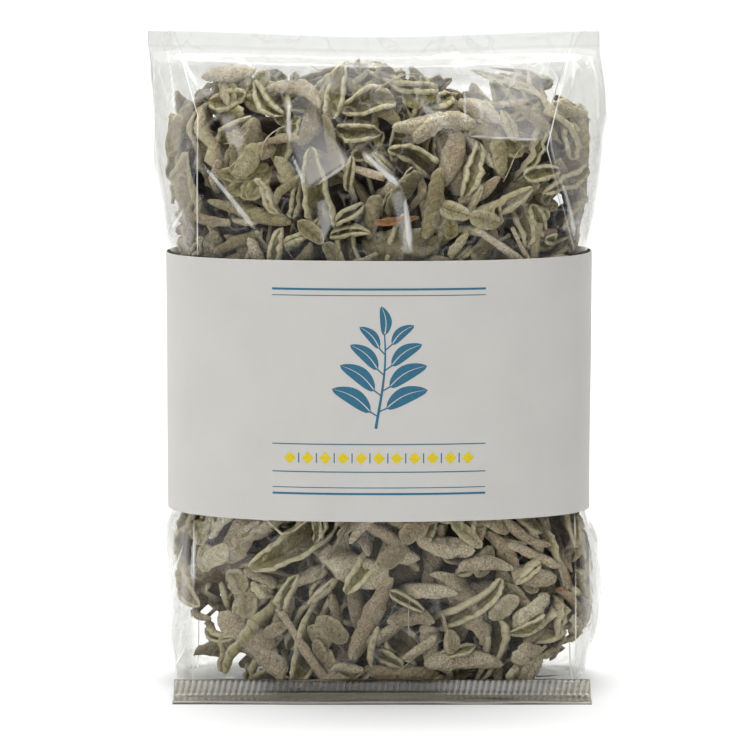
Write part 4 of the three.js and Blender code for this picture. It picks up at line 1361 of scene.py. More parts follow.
def make_stem(rng, length, radius, tone=0.5, bow=0.08, taper=0.25, cut=True):
    """A bare stem with slight knots and a cut, orange-brown end."""
    stations, sides = int(np.clip(length / 1.3, 6, 26)), 9
    t = np.linspace(0, 1, stations)
    knots = 1 + 0.16 * noise(rng.integers(1 << 30), t * length / 4, 0)
    knots = knots + 0.22 * bell((t - rng.uniform(0.3, 0.7)) * length, 0, 1.1)
    r = radius * (1 - taper * t) * knots
    a = np.arange(sides) / sides * TAU
    furrow = 1 + 0.1 * np.cos(a * 4 + rng.uniform(0, TAU)) + rng.normal(0, 0.03, (stations, sides))
    y = r[:, None] * furrow * np.cos(a) + bow * length * (0.25 - (t - 0.5) ** 2)[:, None]
    z = r[:, None] * furrow * np.sin(a) + 0.3 * bow * length * np.sin(TAU * t)[:, None] * 0.2
    points = np.stack([np.broadcast_to(((t - 0.5) * length)[:, None], y.shape), y, z], -1)
    flat = np.concatenate([points.reshape(-1, 3), [points[0].mean(0), points[-1].mean(0)]])
    near = np.concatenate([np.repeat(bell(t * length, 0, 0.5), sides), [1, 0]])
    marks = leaf_marks(len(flat), rim=0.12, tone=tone, wood=near * (0.9 if cut else 0.0) + 0.05)
    return Blade(flat, *tube_faces(stations, sides), marks)


def bean(rng, length, tone, green):
    """A small thick leaflet with a groove along its rib, whose foot is at the origin."""
    blade = make_blade(rng, length, length * rng.uniform(0.42, 0.58), fold=rng.uniform(-0.15, 0.35),
                       curl=rng.uniform(-0.9, -0.3), roll=rng.uniform(-0.5, 0.1), bend=rng.uniform(-0.1, 0.3),
                       twist=rng.normal(0, 0.3), ripple=0.05, blunt=0.5, skew=-0.1, felt=rng.uniform(1.2, 1.6),
                       upper_out=green, tone=tone, rib=1.0, fine=0.9)
    return turned(blade, shift=(length / 2, 0, 0))


def cluster(rng):
    """A shoot's tip: small leaflets in pairs on a short stem."""
    tone, green = rng.uniform(0.35, 0.95), float(rng.uniform() < 0.7) * rng.uniform(0.4, 0.9)
    pairs = rng.integers(2, 4)
    span = rng.uniform(6, 13)
    parts = [make_stem(rng, span, rng.uniform(0.5, 0.8), tone, cut=rng.uniform() < 0.5)]
    for k in range(pairs):
        at = (k + 0.4) / pairs * span - span / 2
        size = rng.uniform(7.5, 11) * (1 - 0.14 * k)
        spread = rng.uniform(0.5, 1.1)
        for side in (1, -1):
            leaflet = bean(rng, size * rng.uniform(0.8, 1.1), unit(tone + rng.normal(0, 0.08)), green)
            lean = rng.uniform(0.0, 0.55)
            parts.append(turned(leaflet, about_z=side * spread, tilt=lean, roll=side * rng.uniform(-0.5, 0.3),
                                shift=(at, side * 0.3, 0.3)))
    tip = bean(rng, rng.uniform(4.5, 7.5), tone, green)
    parts.append(turned(tip, about_z=rng.normal(0, 0.25), tilt=0.2, shift=(span / 2 - 0.5, 0, 0.2)))
    return joined(parts)


# The kinds of blade. Each has the draw below which it is taken, the span of its lengths, the spans of its other
# values in the order of their draws, the sign of its fold, curl and roll, and what its tone is raised and scaled by.
# A single number is taken as it is, but for sweep and twist, where it is the spread of a normal draw.
BLADE_KINDS = (
    # the felted underside out, its back arched
    dict(below=0.42, length=(12, 27), signs=(-1, -1, -1), tone=(0, 1),
         draws=dict(width=(0.29, 0.45), fold=(0.1, 0.55), curl=(0.5, 1.6), roll=(0.2, 1.2), bend=(-0.25, 0.6),
                    sweep=0.22, twist=0.5, ripple=(0.02, 0.14), blunt=(0.3, 0.5), skew=(-0.1, 0.5), felt=(0.95, 1.5),
                    upper_out=(0, 0.25), rib=(0.2, 0.8))),
    # an open cup, its upper side out and its margins rolled in
    dict(below=0.59, length=(11, 23), signs=(1, 1, 1), tone=(0.12, 0.7),
         draws=dict(width=(0.36, 0.54), fold=(0.15, 0.6), curl=(0.2, 1.2), roll=(0.6, 1.9), bend=(-0.35, 0.35),
                    sweep=0.18, twist=0.45, ripple=(0.08, 0.22), blunt=(0.34, 0.5), felt=(0.9, 1.25),
                    upper_out=(0.7, 1), rib=(0.5, 1))),
    # folded sharply and wrung, with waved margins, and seven times in ten with the underside out
    dict(below=0.69, length=(13, 26), signs=(1, -1, 1), tone=(0, 1), under_share=0.7,
         draws=dict(width=(0.4, 0.58), fold=(0.5, 1.0), curl=(0.2, 1.0), roll=(0.4, 1.2), bend=(-0.5, 0.5),
                    sweep=0.3, twist=1.3, ripple=(0.16, 0.3), blunt=(0.35, 0.6), skew=(0, 0.8), felt=(0.9, 1.3),
                    upper_out=0.8, rib=0.6)),
    # rolled up along its length, with a slit
    dict(below=0.77, length=(9, 19), signs=(1, 1, 1), tone=(0.1, 1),
         draws=dict(width=(0.36, 0.5), fold=(0.5, 0.8), curl=(1.1, 1.7), roll=(0.2, 0.9), bend=(-0.3, 0.45),
                    sweep=0.2, twist=0.6, ripple=(0.03, 0.12), blunt=(0.35, 0.5), felt=(0.95, 1.3),
                    upper_out=(0.4, 0.7), rib=0.3)),
)
LEAFLETS_BELOW, SHOOTS_BELOW = 0.86, 0.97


def blade_of_kind(rng, kind, scale, tone):
    """A leaf of one of the kinds of blade."""
    length = rng.uniform(*kind["length"]) * scale
    under_out = "under_share" in kind and rng.uniform() < kind["under_share"]
    values = {}
    for key, span in kind["draws"].items():
        if key in ("sweep", "twist"):
            values[key] = rng.normal(0, span)
        else:
            values[key] = rng.uniform(*span) if isinstance(span, tuple) else span
    for key, sign in zip(("fold", "curl", "roll"), kind["signs"]):
        values[key] *= -sign if under_out else sign
    if under_out:
        values["upper_out"] = 0.15
    raised, scaled = kind["tone"]
    return make_blade(rng, length, length * values.pop("width"), tone=min(1, raised + tone * scaled), **values)


def drawn_leaf(rng, scale=1.0):
    """A leaf, leaflet pair, shoot or twig of a drawn kind."""
    drawn = rng.uniform()
    tone = float(unit(rng.normal(0.55, 0.3)))
    for kind in BLADE_KINDS:
        if drawn < kind["below"]:
            return blade_of_kind(rng, kind, scale, tone)
    if drawn < LEAFLETS_BELOW:  # a single leaflet or a pair end to end
        size, green = rng.uniform(7, 12) * mix(1, scale, 0.4), rng.uniform(0.2, 0.9)
        first = bean(rng, size, tone, green)
        if rng.uniform() < 0.5:
            return turned(first, shift=(-size / 2, 0, 0))
        other = turned(bean(rng, size * rng.uniform(0.85, 1.1), tone, green), about_z=math.pi + rng.normal(0, 0.3))
        return joined([first, other])
    if drawn < SHOOTS_BELOW:
        return cluster(rng)
    return make_stem(rng, rng.uniform(10, 24), rng.uniform(0.55, 1.25), tone, bow=rng.uniform(0, 0.25))


# ------------ the main leaves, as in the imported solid


class Draws:
    """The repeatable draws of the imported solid."""

    def __init__(self, seed):
        self.state = seed

    def draw(self):
        self.state = (self.state * 1664525 + 1013904223) & 0xFFFFFFFF
        return self.state / 4294967296

    def between(self, span):
        return mix(span[0], span[1], self.draw())


def arc_angles():
    steps = 360
    ring = bag_point(SLEEVE_MIDDLE, np.arange(steps + 1) / steps * TAU, 0)
    lengths = np.concatenate([[0], np.cumsum(np.linalg.norm(np.diff(ring, axis=0), axis=1))])
    return lengths / lengths[-1], np.arange(steps + 1) / steps * TAU


ARC_SHARES, ARC_ANGLES = arc_angles()


def angle_at(u):
    return float(np.interp(u, ARC_SHARES, ARC_ANGLES))


def wall_frame(z, a):
    round_ = bag_point(z, a + 0.01, 0) - bag_point(z, a - 0.01, 0)
    round_[2] = 0
    round_ /= np.linalg.norm(round_)
    return round_, np.array([round_[1], -round_[0], 0]), np.array([0, 0, 1.0])


def leaf_spot(leaf, t):
    return leaf["anchor"] + leaf["heading"] * t * leaf["length"] + leaf["face"] * t * leaf["lift"]


def outside_core(p):
    n = squareness(p[2])
    x = abs(p[0]) / (half_width(p[2]) - CORE_INSET)
    y = abs(p[1]) / max(half_depth(p[2]) - CORE_INSET, 1)
    beside = max(0, (x**n + y**n) ** (1 / n) - 1) * BODY_HALF_DEPTH
    return beside + max(0, CORE_LOW + 3 - p[2], p[2] - FILL_HIGH)


class MainLeaves:
    """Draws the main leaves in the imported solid's order, so that each lies where the solid has it."""

    def __init__(self):
        self.draws = Draws(SOLID_SEED)
        self.spots, self.reaches = [], []

    def crowding(self, leaf):
        total = 5 * max(0, outside_core(leaf_spot(leaf, -0.43)) - 2)
        if not self.spots:
            return total
        spots, reaches = np.array(self.spots), np.array(self.reaches)
        for t in ALONG:
            gap = np.linalg.norm(spots - leaf_spot(leaf, t), axis=1)
            total += np.maximum(0, leaf["width"] * KEPT_OFF + reaches - gap).sum()
        return total

    def leaf(self, anchor, across, up, out, lift, spread):
        d = self.draws
        length = d.between(LEAF_LENGTHS)
        width = length * d.between(LEAF_SLIMNESS)
        fold = d.between(FOLDS)
        fold *= 1 if d.draw() < 0.5 else -1
        bend = d.between(BENDS)
        best = None
        for _ in range(TRIES):
            turn = math.pi / 2 + (d.draw() - 0.5) * spread
            roll = (2 * d.draw() - 1) * ROLL
            heading = across * math.cos(turn) + up * math.sin(turn)
            face = out * math.cos(roll) + np.cross(out, heading) * math.sin(roll)
            at = np.array(anchor, float)
            at[2] = min(at[2], FILL_TOP - abs(heading[2]) * length / 2)
            leaf = dict(anchor=at, heading=heading, face=face, length=length, width=width, fold=fold, bend=bend,
                        lift=lift, turn=turn, roll=roll)
            crowd = self.crowding(leaf)
            if best is None or crowd < best[0]:
                best = (crowd, leaf)
        for t in ALONG:
            self.spots.append(leaf_spot(best[1], t))
            self.reaches.append(width * KEPT_OFF)
        return best[1]

    def side_leaves(self, count, start, foot, tip):
        shown = FILL_HIGH - FILL_LOW - (HIDDEN_HIGH - HIDDEN_LOW)
        leaves = []
        for i in range(count):
            a = angle_at((start + i * STEP_ROUND) % 1)
            z = FILL_LOW + ((start + i * STEP_UP) % 1) * shown
            if z > HIDDEN_LOW:
                z += HIDDEN_HIGH - HIDDEN_LOW
            round_, out, up = wall_frame(z, a)
            anchor = bag_point(z, a, (foot + tip) / 2)
            leaves.append(self.leaf(anchor, round_, up, out, foot - tip, TAU))
        return leaves

    def top_leaves(self):
        leaves = []
        for i in range(TOP_LEAVES):
            side = 1 if i % 2 else -1
            x = (2 * ((i + 0.5) / TOP_LEAVES) - 1) * (MOUTH_HALF_WIDTH - 12)
            anchor = (x, side * mix(3, 6, self.draws.draw()), FILL_HIGH + mix(-4, 5, self.draws.draw()))
            across, out = np.array([-side, 0, 0.0]), np.array([0, side, 0.0])
            leaves.append(self.leaf(anchor, across, np.array([0, 0, 1.0]), out, 3, 2.6))
        return leaves

    def base_leaves(self):
        leaves = []
        for i in range(BASE_LEAVES):
            x = (2 * ((0.5 + i * STEP_ROUND) % 1) - 1) * (BASE_HALF_WIDTH - 18)
            y = (2 * ((0.5 + i * STEP_UP) % 1) - 1) * (BASE_HALF_DEPTH - 10)
            leaves.append(self.leaf((x, y, CORE_LOW + 1), np.array([1.0, 0, 0]), np.array([0, 1.0, 0]),
                                    np.array([0, 0, -1.0]), CORE_LOW, TAU))
        return leaves

    def twigs(self):
        found = []
        for i in range(TWIGS):
            a = angle_at((0.21 + i * STEP_ROUND) % 1)
            span = (FILL_LOW + 6, SLEEVE_LOW - 4) if i % 2 else (SLEEVE_HIGH + 4, FILL_HIGH - 4)
            z = self.draws.between(span)
            turn = self.draws.draw() * TAU
            length, radius = self.draws.between((20, 34)), self.draws.between((0.8, 1.3))
            found.append(dict(anchor=bag_point(z, a, CORE_INSET * 0.7), turn=turn, length=length, radius=radius))
        return found


def clearance(s, z):
    """The least depth of a leaf inside the film: more at the bag's sides, and most at its upper corners."""
    beside = rise(np.abs(WALL.look_up(WALL.outer, s, z)[..., 0]), *BESIDE)
    return CLEARANCE + beside * (SIDE_ROOM + CORNER_ROOM * rise(z, *CORNER))


def skyline(s):
    """The greatest height of a leaf laid at a place round the bag."""
    u = s / WALL.girth
    return HEAP_TOP + HEAP_SWAY * ring_noise(61, s, 14, 0) - CORNER_DROP * np.cos(2 * TAU * u) ** 7


def foot_line(s):
    """The least height of a leaf laid at a place round the bag: the fill is open at the foot's corners."""
    x = WALL.look_up(WALL.outer, np.asarray(s, float), np.asarray(12.0))[..., 0]
    return LOW_EDGE + np.maximum(0, LEFT_FOOT - x) + 1.1 * np.maximum(0, x - RIGHT_FOOT)


def soft_floor(value, low, width):
    """The value, eased so that it never falls below low."""
    return low + width * np.logaddexp(0, (value - low) / width)


# ------------ the heap of leaves

CELL = 1.0
NESTLE = 1.35  # how far a leaf settles into what it lies on
BANDS = ((2, SLEEVE_LOW + 4), (SLEEVE_HIGH - 4, 161))  # heights at which leaves show
UNDER_LEAVES = 260  # laid before the main leaves
MISSES = 420  # leaves that find no room before the heap counts as full
SMALLEST = 0.55  # scale of the last leaves
CANDIDATES = 18
SHEER = 0.5  # the steepest lean of a leaf that comes to rest
LOW_EDGE = 1.2
HUSK = (4.5, 124, 0.12)  # an orange-brown papery strip: across from the front's middle, height and turn
DEEP_START = 3.0  # depth at which painted shade on the leaves begins, growing inwards
DARK_LOW, DARK_HIGH = 0.66, 0.95  # how strong the painted shade on the deepest leaves is, below the sleeve and above it
ABOVE = (60, 40)  # the sleeve's heights, over which leaves change from the lower kind to the upper
LIT_TOP = (132, 18)  # heights over which the painted shade fades out towards the top of the heap
GREENER = 0.5  # what every second leaf above the sleeve has more of the upper side's olive
TIGHT = -0.25  # how far a leaf may reach beyond its clearance where it comes to rest
SEEN_DEPTH, SEEN_SHARE = 0.9, 0.06  # a leaf shows where this share of it lies this close to the heap's surface
FIXED_EASE, DROPPED_EASE = 0.5, 0.35  # how gently leaves bend away from the film
OPEN_CORNER = (-51, 20, 15, 15)  # x, height and half sizes of the thin place in the fill at the lower left


HEAPS = {}  # the last heap that was laid, for the strands that lie on it


class Heap:
    """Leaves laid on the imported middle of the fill, each on what is already there, up to the film."""

    def __init__(self, rng):
        self.rng = rng
        self.columns = int(WALL.girth / CELL)
        rows = int(BAG_HEIGHT / CELL) + 2
        s, z = np.meshgrid(np.arange(self.columns) * CELL, np.arange(rows) * CELL, indexing="ij")
        self.depth = core_depth(s, z)
        self.laid = []

    def cells(self, s, z):
        i = np.floor(s / CELL).astype(int) % self.columns
        j = np.clip((z / CELL).astype(int), 0, self.depth.shape[1] - 1)
        return i, j

    def add(self, s, z, depth, blade):
        i, j = self.cells(s, z)
        np.minimum.at(self.depth, (i, j), depth)
        self.laid.append((s, z, depth, blade))

    def spread(self, blade, s0, z0, turn):
        x, y, _ = blade.points.T
        s = s0 + x * math.cos(turn) - y * math.sin(turn)
        z = z0 + x * math.sin(turn) + y * math.cos(turn)
        z = z + max(0, foot_line(s0) - z.min()) - max(0, z.max() - skyline(s0))
        return s, z

    def fix(self, leaf):
        """A main leaf at its own place and depth."""
        s0, d0 = WALL.place(leaf["anchor"])
        blade = turned(leaf["blade"], roll=leaf.get("roll", 0.0))
        s, z = self.spread(blade, s0, leaf["anchor"][2], leaf["turn"])
        x = blade.points[:, 0]
        raised = blade.points[:, 2] + leaf["lift"] * x / leaf["length"]
        self.add(s, z, soft_floor(d0 - raised, clearance(s, z), FIXED_EASE), blade)

    def drop(self, blade, bands, tries=CANDIDATES, nestle=NESTLE):
        """Drops a leaf where it comes to rest deepest, and says whether there was room for it."""
        rng, best = self.rng, None
        raised = blade.points[:, 2]
        for _ in range(tries):
            low, high = bands[0] if rng.uniform() < 0.5 else bands[1]
            s0, z0, turn = rng.uniform(0, WALL.girth), rng.uniform(low, high), rng.uniform(0, TAU)
            s, z = self.spread(blade, s0, z0, turn)
            i, j = self.cells(s, z)
            under = self.depth[i, j]
            ds, dz = s - s.mean(), z - z.mean()
            spread = np.array([[ds @ ds, ds @ dz], [ds @ dz, dz @ dz]]) + np.eye(2)
            lean = np.clip(np.linalg.solve(spread, np.array([ds @ under, dz @ under])), -SHEER, SHEER)
            slope = lean[0] * ds + lean[1] * dz
            rest = (under + raised - slope).min() + nestle
            depth = rest + slope - raised
            top = (depth - clearance(s, z)).min()
            if best is None or top > best[0]:
                best = (top, s, z, depth)
        if best[0] < TIGHT:
            return False
        _, s, z, depth = best
        self.add(s, z, soft_floor(depth, clearance(s, z), DROPPED_EASE), blade)
        return True

    def shown(self):
        """The leaves of which some part can be seen from outside."""
        kept = []
        for s, z, depth, blade in self.laid:
            i, j = self.cells(s, z)
            if (depth <= self.depth[i, j] + SEEN_DEPTH).mean() > SEEN_SHARE:
                kept.append((s, z, depth, blade))
        return kept


def core_depth(s, z):
    """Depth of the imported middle's surface inside the film."""
    lumps = 1.1 * ring_noise(51, s, 40, z / 6.5)
    lumps += 0.6 * ring_noise(52, s, 90, z / 3)
    at = WALL.look_up(WALL.outer, s, z)
    x, y, w, h = OPEN_CORNER
    thin = np.exp(-(((at[..., 0] - x) / w) ** 2) - ((z - y) / h) ** 2) * 5
    beside = rise(np.abs(at[..., 0]), *BESIDE) * 1.5
    return CORE_INSET + 1.2 + lumps + thin + beside


def free_points(leaf):
    """The points of a leaf that doesn't lie along the wall, kept inside the film."""
    x, y, z = leaf["blade"].points.T
    side = np.cross(leaf["face"], leaf["heading"])
    side = side / np.linalg.norm(side)
    raised = z + leaf["lift"] * x / leaf["length"]
    p = leaf["anchor"] + x[:, None] * leaf["heading"] + y[:, None] * side + raised[:, None] * leaf["face"]
    level = soft_floor(p[:, 2], LOW_EDGE, 0.4)
    level = -soft_floor(-level, -(FILL_TOP + 0.5), 0.5)
    n = squareness(level)
    inset = CLEARANCE + 0.5
    across = np.abs(p[:, 0]) / (half_width(level) - inset)
    deep = np.abs(p[:, 1]) / np.maximum(half_depth(level) - inset, 0.8)
    reach = np.maximum((across**n + deep**n) ** (1 / n), 1e-3)
    eased = -soft_floor(-reach, -1.0, 0.03)
    share = np.minimum(eased / reach, 1)
    flat = p[:, :2] * share[:, None] + np.stack([lean(level), 0 * level], -1)
    return np.concatenate([flat, (level - mouth_dip(flat[:, 0], level))[:, None]], -1)


def main_blade(rng, leaf):
    """The fine form of a main leaf: its own length, width, fold and bow, with curled felted margins."""
    fold = math.atan(leaf["fold"])
    cup = fold > 0
    side = 1 if cup else -1
    tone = float(unit(rng.normal(0.55, 0.22)))
    return make_blade(rng, leaf["length"], leaf["width"] * 1.02, fold=fold * 0.7,
                      curl=rng.uniform(0.5, 1.3) * side, roll=rng.uniform(0.4, 1.7) * side,
                      bend=leaf["bend"], sweep=rng.normal(0, 0.1), twist=rng.normal(0, 0.25),
                      ripple=rng.uniform(0.04, 0.16), blunt=rng.uniform(0.4, 0.5), felt=rng.uniform(1.0, 1.4),
                      upper_out=rng.uniform(0.7, 1.0) if cup and rng.uniform() < 0.75 else rng.uniform(0, 0.3),
                      tone=tone, rib=rng.uniform(0.4, 0.9))


FULL = 185000  # triangles in one piece of leaves


def add_leaves(name, blades, material):
    whole = joined(blades)
    faces = [whole.quads, whole.triangles]
    add_piece("sage_leaves", "dried_sage", name, whole.points, faces, material, marks=whole.marks)


def leaf_pieces(blades, name, material):
    """Writes blades, given as points and blade, into as many mesh pieces as the triangles ask for."""
    batch, size, number = [], 0, 1
    for entry in blades + [None]:
        cost = 0 if entry is None else 2 * len(entry[1].quads) + len(entry[1].triangles)
        if batch and (entry is None or size + cost > FULL):
            add_leaves(f"{name}_{number}", [b.moved(points) for points, b in batch], material)
            batch, size, number = [], 0, number + 1
        if entry is not None:
            batch.append(entry)
            size += cost


class SAGE_OT_leaves(bpy.types.Operator):
    """Fill the bag with dried sage leaves"""

    bl_idname = "mesh.sage_leaves"
    bl_label = "Dried leaves"
    bl_options = {"REGISTER", "UNDO"}

    def execute(self, context):
        settings = context.scene.sage_leaf
        rng = np.random.default_rng(settings.seed)
        heap = Heap(rng)
        main = MainLeaves()
        side_leaves = main.side_leaves(FLAT_LEAVES, 0.5, CORE_INSET + ROOT_DEPTH, CORE_INSET - 4)
        side_leaves += main.side_leaves(RAISED_LEAVES, 0.93, CORE_INSET + ROOT_DEPTH, TIP_DEPTH)
        free_leaves = main.top_leaves() + main.base_leaves()
        for _ in range(UNDER_LEAVES):
            heap.drop(drawn_leaf(rng), BANDS)
        for leaf in side_leaves:
            leaf["blade"] = main_blade(rng, leaf)
            heap.fix(leaf)
        for twig in main.twigs():
            twig["blade"] = make_stem(rng, twig["length"], twig["radius"], rng.uniform(0.3, 0.7))
            twig["lift"] = -7
            heap.fix(twig)
        misses, laid = 0, 0
        while laid < settings.extra and misses < MISSES:
            if heap.drop(drawn_leaf(rng, mix(1, SMALLEST, misses / MISSES)), BANDS):
                laid += 1
            else:
                misses += 1
        husk = make_blade(rng, 12, 2.6, fold=0.5, curl=0.5, roll=0.3, bend=0.12, twist=1.2, ripple=0.3, felt=0.4,
                          wood=0.85)
        across, height, turn = HUSK
        s, z = heap.spread(husk, WALL.front + across, height, turn)
        heap.add(s, z, CLEARANCE + 0.9 - 0.6 * husk.points[:, 2], husk)
        HEAPS["leaves"] = heap
        blades = []
        for s, z, depth, blade in heap.shown():
            # Painted shade: the deep mark darkens leaves towards brown with their depth inside the film, less near the
            # top.
            inner = rise(depth, DEEP_START, CORE_INSET - DEEP_START)
            high = float(rise(z.mean(), *ABOVE))
            blade.marks["deep"] = mix(DARK_LOW, DARK_HIGH, high) * inner * (1 - 0.85 * rise(z, *LIT_TOP))
            greener = GREENER * high * (len(blades) % 2 == 0)
            blade.marks["upper"] = unit(blade.marks["upper"] + greener)
            blades.append((WALL.point(s, z, depth), blade))
        for leaf in free_leaves:
            leaf["blade"] = main_blade(rng, leaf)
            blades.append((free_points(leaf), leaf["blade"]))
        leaf_pieces(blades, "sage_leaves_fine", leaf_material(settings))
        return {"FINISHED"}


MIDDLE_INSET = 3.4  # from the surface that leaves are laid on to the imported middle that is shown
MIDDLE_TOP, MIDDLE_FOOT = (134, 15), (6, 5)  # where it draws in at its ends


class SAGE_OT_fill_middle(bpy.types.Operator):
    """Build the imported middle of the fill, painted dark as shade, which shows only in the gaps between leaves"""

    bl_idname = "mesh.sage_fill_middle"
    bl_label = "Packed middle"
    bl_options = {"REGISTER", "UNDO"}

    def execute(self, context):
        settings = context.scene.sage_leaf
        columns = 210
        z = np.concatenate([np.arange(1.5, 53, 1.5), np.arange(56, 106, 6), np.arange(108, 149, 1.5)])
        s, zz = np.meshgrid(np.arange(columns) / columns * WALL.girth, z)
        ends = 9 * rise(zz, *MIDDLE_TOP) ** 2 + 2.5 * fall(zz, *MIDDLE_FOOT) - 3
        depth = core_depth(s, zz) + MIDDLE_INSET + ends
        depth = np.minimum(depth, half_depth(zz) * 0.93)
        points = WALL.point(s, zz, depth)
        low, lump = fall(zz, 30, 14), 2 * ring_noise(53, s, 60, zz / 4)
        points[..., 0] = np.clip(points[..., 0], -45 + 22 * low + lump, 46 - 20 * low + lump)
        middle = np.array([[0, 0, z[0] + 0.5], [0, 0, z[-1] + 0.5]])
        flat = np.concatenate([points.reshape(-1, 3), middle])
        # The middle is painted almost wholly in the deep mark's dark brown, a painted shade behind the leaves.
        marks = leaf_marks(len(flat), upper=0.3, tone=0.3, deep=0.95)
        add_piece("sage_leaves", "dried_sage", "fill_middle", flat, tube_faces(len(z), columns),
                  leaf_material(settings), marks=marks)
        return {"FINISHED"}


STRANDS = 22
# A pale forked strand that shows under the sleeve: across from the front's middle, and height.
FORKED_STRAND = ((-32, 49), (-29, 45.4), (-25.6, 42.6), (-22.6, 43.4), (-19.5, 46), (-17, 49))


def laid_thread(rng, route, radius):
    """A thin strand just inside the film along a route on the front."""
    route, length, step = np.array(route, float), 1.3 * 26, 0.2
    strand = make_stem(rng, length, radius, bow=0, taper=0.1, cut=False)
    x, y, z = strand.points.T
    t = unit(x / length + 0.5) * (len(route) - 1)
    on_route = lambda u: np.stack([np.interp(u, np.arange(len(route)), route[:, k]) for k in (0, 1)], -1)
    place = on_route(t) + sideways(on_route(t + step) - on_route(t - step)) * y[:, None]
    points = WALL.point(WALL.front + place[:, 0], place[:, 1], CLEARANCE + 0.1 - z)
    return strand.moved(points)


class SAGE_OT_fibres(bpy.types.Operator):
    """Lay a few pale dry strands among the leaves"""

    bl_idname = "mesh.sage_fibres"
    bl_label = "Dry strands"
    bl_options = {"REGISTER", "UNDO"}

    def execute(self, context):
        rng = np.random.default_rng(context.scene.sage_leaf.seed + 5)
        heap = HEAPS["leaves"]
        heap.rng, first = rng, len(heap.laid)
        for _ in range(STRANDS):
            strand = make_stem(rng, rng.uniform(7, 19), rng.uniform(0.09, 0.17), bow=rng.uniform(0.1, 0.9), taper=0.5,
                               cut=False)
            heap.drop(strand, BANDS, tries=4, nestle=0.25)
        parts = [strand.moved(WALL.point(s, z, depth)) for s, z, depth, strand in heap.laid[first:]]
        parts.append(laid_thread(rng, FORKED_STRAND, 0.33))
        whole = joined(parts)
        faces = [whole.quads, whole.triangles]
        add_piece("sage_leaves", "dried_sage", "dry_strands", whole.points, faces, fibre_material())
        return {"FINISHED"}


# ------------ floor, lights and camera


def area_light(name, place, target, size, watts):
    """A rectangular soft box at place that looks at target. Places are in mm."""
    lamp = bpy.data.lights.new(name, "AREA")
    lamp.shape = "RECTANGLE"
    lamp.size, lamp.size_y = size[0] * MM, size[1] * MM
    lamp.energy = watts
    light = bpy.data.objects.new(name, lamp)
    light.location = Vector(place) * MM
    light.rotation_euler = (Vector(target) - Vector(place)).to_track_quat("-Z", "Y").to_euler()
    bpy.context.scene.collection.objects.link(light)


SEEN_ROOM = 0.85  # how much brighter the room is to the camera than as a light


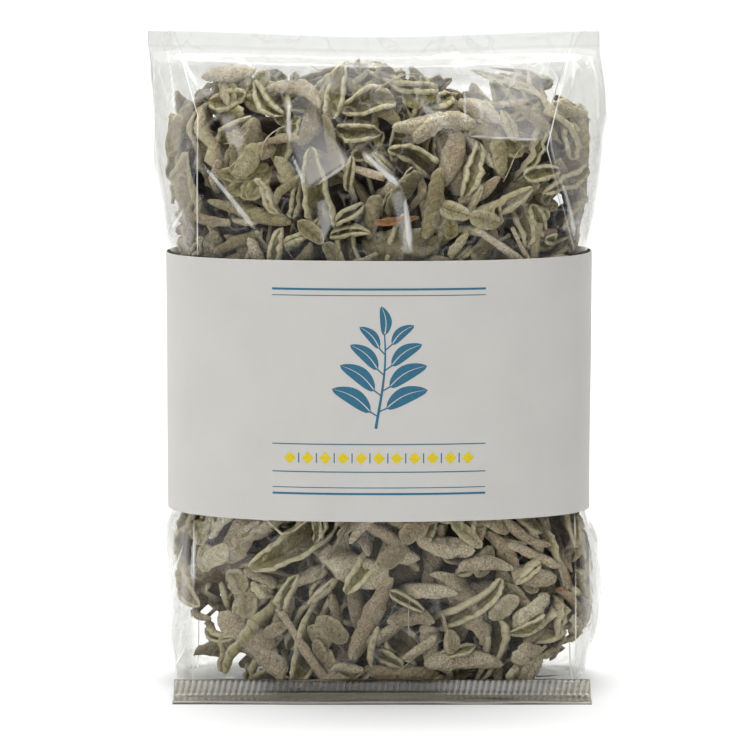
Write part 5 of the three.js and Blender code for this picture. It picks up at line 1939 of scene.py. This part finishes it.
class SAGE_OT_stage(bpy.types.Operator):
    """Set the pale floor, the soft studio lights and the camera"""

    bl_idname = "scene.sage_stage"
    bl_label = "Stage"
    bl_options = {"REGISTER", "UNDO"}

    def execute(self, context):
        scene, settings = context.scene, context.scene.sage_stage
        reach, back, top, bend = 1000.0, 1500.0, 1800.0, 500.0
        profile = [(-reach, 0), (0, 0), (back - bend, 0)]
        turns = np.linspace(0, math.pi / 2, 13)[1:]
        profile += [(back - bend + bend * math.sin(a), bend - bend * math.cos(a)) for a in turns]
        profile.append((back, top))
        points = [(x, y - BACK_SHIFT, z) for x in (-reach, reach) for y, z in profile]
        count = len(profile)
        quads = [[i, i + count, i + count + 1, i + 1] for i in range(count - 1)]
        floor = add_mesh("studio_floor", points, [np.array(quads)], floor_material(settings))
        floor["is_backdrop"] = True
        world = bpy.data.worlds.new("soft_room")
        scene.world = world
        world.use_nodes = True
        room = world.node_tree.nodes["Background"]
        room.inputs["Color"].default_value = (1, 1, 1, 1)
        seen = world.node_tree.nodes.new("ShaderNodeLightPath").outputs["Is Camera Ray"]
        bright = world.node_tree.nodes.new("ShaderNodeMath")
        bright.operation = "MULTIPLY_ADD"
        bright.inputs[1].default_value, bright.inputs[2].default_value = SEEN_ROOM, settings.ambient
        world.node_tree.links.new(seen, bright.inputs[0])
        world.node_tree.links.new(bright.outputs[0], room.inputs["Strength"])
        middle = (0, 0, 90)
        area_light("key_box", (-120, 260, 1050), middle, (1750, 1250), settings.key)
        area_light("left_box", (-800, -900, 420), middle, (620, 750), settings.left)
        area_light("right_box", (900, -500, 420), middle, (500, 700), settings.right)
        area_light("corner_box", (330, -380, 1000), middle, (560, 460), settings.corner)
        area_light("backdrop_box", (0, 500, 1500), (0, 1200, 200), (2200, 500), settings.backdrop)
        camera_data = bpy.data.cameras.new("camera")
        camera = bpy.data.objects.new("camera", camera_data)
        scene.collection.objects.link(camera)
        camera_data.lens = settings.lens
        camera_data.sensor_width = 36
        camera_data.clip_start = 0.05
        place = Vector((settings.aim_side, BACK_SHIFT * MM - settings.camera_distance, settings.camera_height))
        aim = Vector((settings.aim_side, BACK_SHIFT * MM, settings.aim_height))
        camera.location = place
        camera.rotation_euler = (aim - place).to_track_quat("-Z", "Y").to_euler()
        scene.camera = camera
        scene.view_settings.view_transform = "Standard"
        scene.view_settings.look = "None"
        return {"FINISHED"}


# ------------ the panel and the whole run

STEPS = (
    SAGE_OT_stage,
    SAGE_OT_fill_middle,
    SAGE_OT_leaves,
    SAGE_OT_fibres,
    SAGE_OT_paper_sleeve,
    SAGE_OT_sleeve_print,
    SAGE_OT_seal_flap,
    SAGE_OT_film_bag,
)


class SAGE_PT_panel(bpy.types.Panel):
    """The pieces of the bag and their settings"""

    bl_label = "Sage bag"
    bl_idname = "SAGE_PT_panel"
    bl_space_type = "VIEW_3D"
    bl_region_type = "UI"
    bl_category = "Sage bag"

    def draw(self, context):
        scene = context.scene
        for title, group in (("Film", scene.sage_film), ("Sleeve", scene.sage_sleeve), ("Leaves", scene.sage_leaf),
                             ("Stage", scene.sage_stage)):
            box = self.layout.box()
            box.label(text=title)
            for key in group.__annotations__:
                box.prop(group, key)
        for step in STEPS:
            self.layout.operator(step.bl_idname)


SETTINGS = {
    "sage_film": SageFilmSettings,
    "sage_sleeve": SageSleeveSettings,
    "sage_leaf": SageLeafSettings,
    "sage_stage": SageStageSettings,
}


def register():
    for made in (*SETTINGS.values(), *STEPS, SAGE_PT_panel):
        bpy.utils.register_class(made)
    for name, group in SETTINGS.items():
        setattr(bpy.types.Scene, name, PointerProperty(type=group))


def unregister():
    for name in SETTINGS:
        delattr(bpy.types.Scene, name)
    for made in reversed((*SETTINGS.values(), *STEPS, SAGE_PT_panel)):
        bpy.utils.unregister_class(made)


def plain(box):
    return [[float(value) for value in corner] for corner in box]


def main():
    register()
    for step in STEPS:
        area, name = step.bl_idname.split(".")
        getattr(getattr(bpy.ops, area), name)()
    {"cad": plain(CAD_BOX), "visual": plain(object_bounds())}


if __name__ == "__main__":
    main()
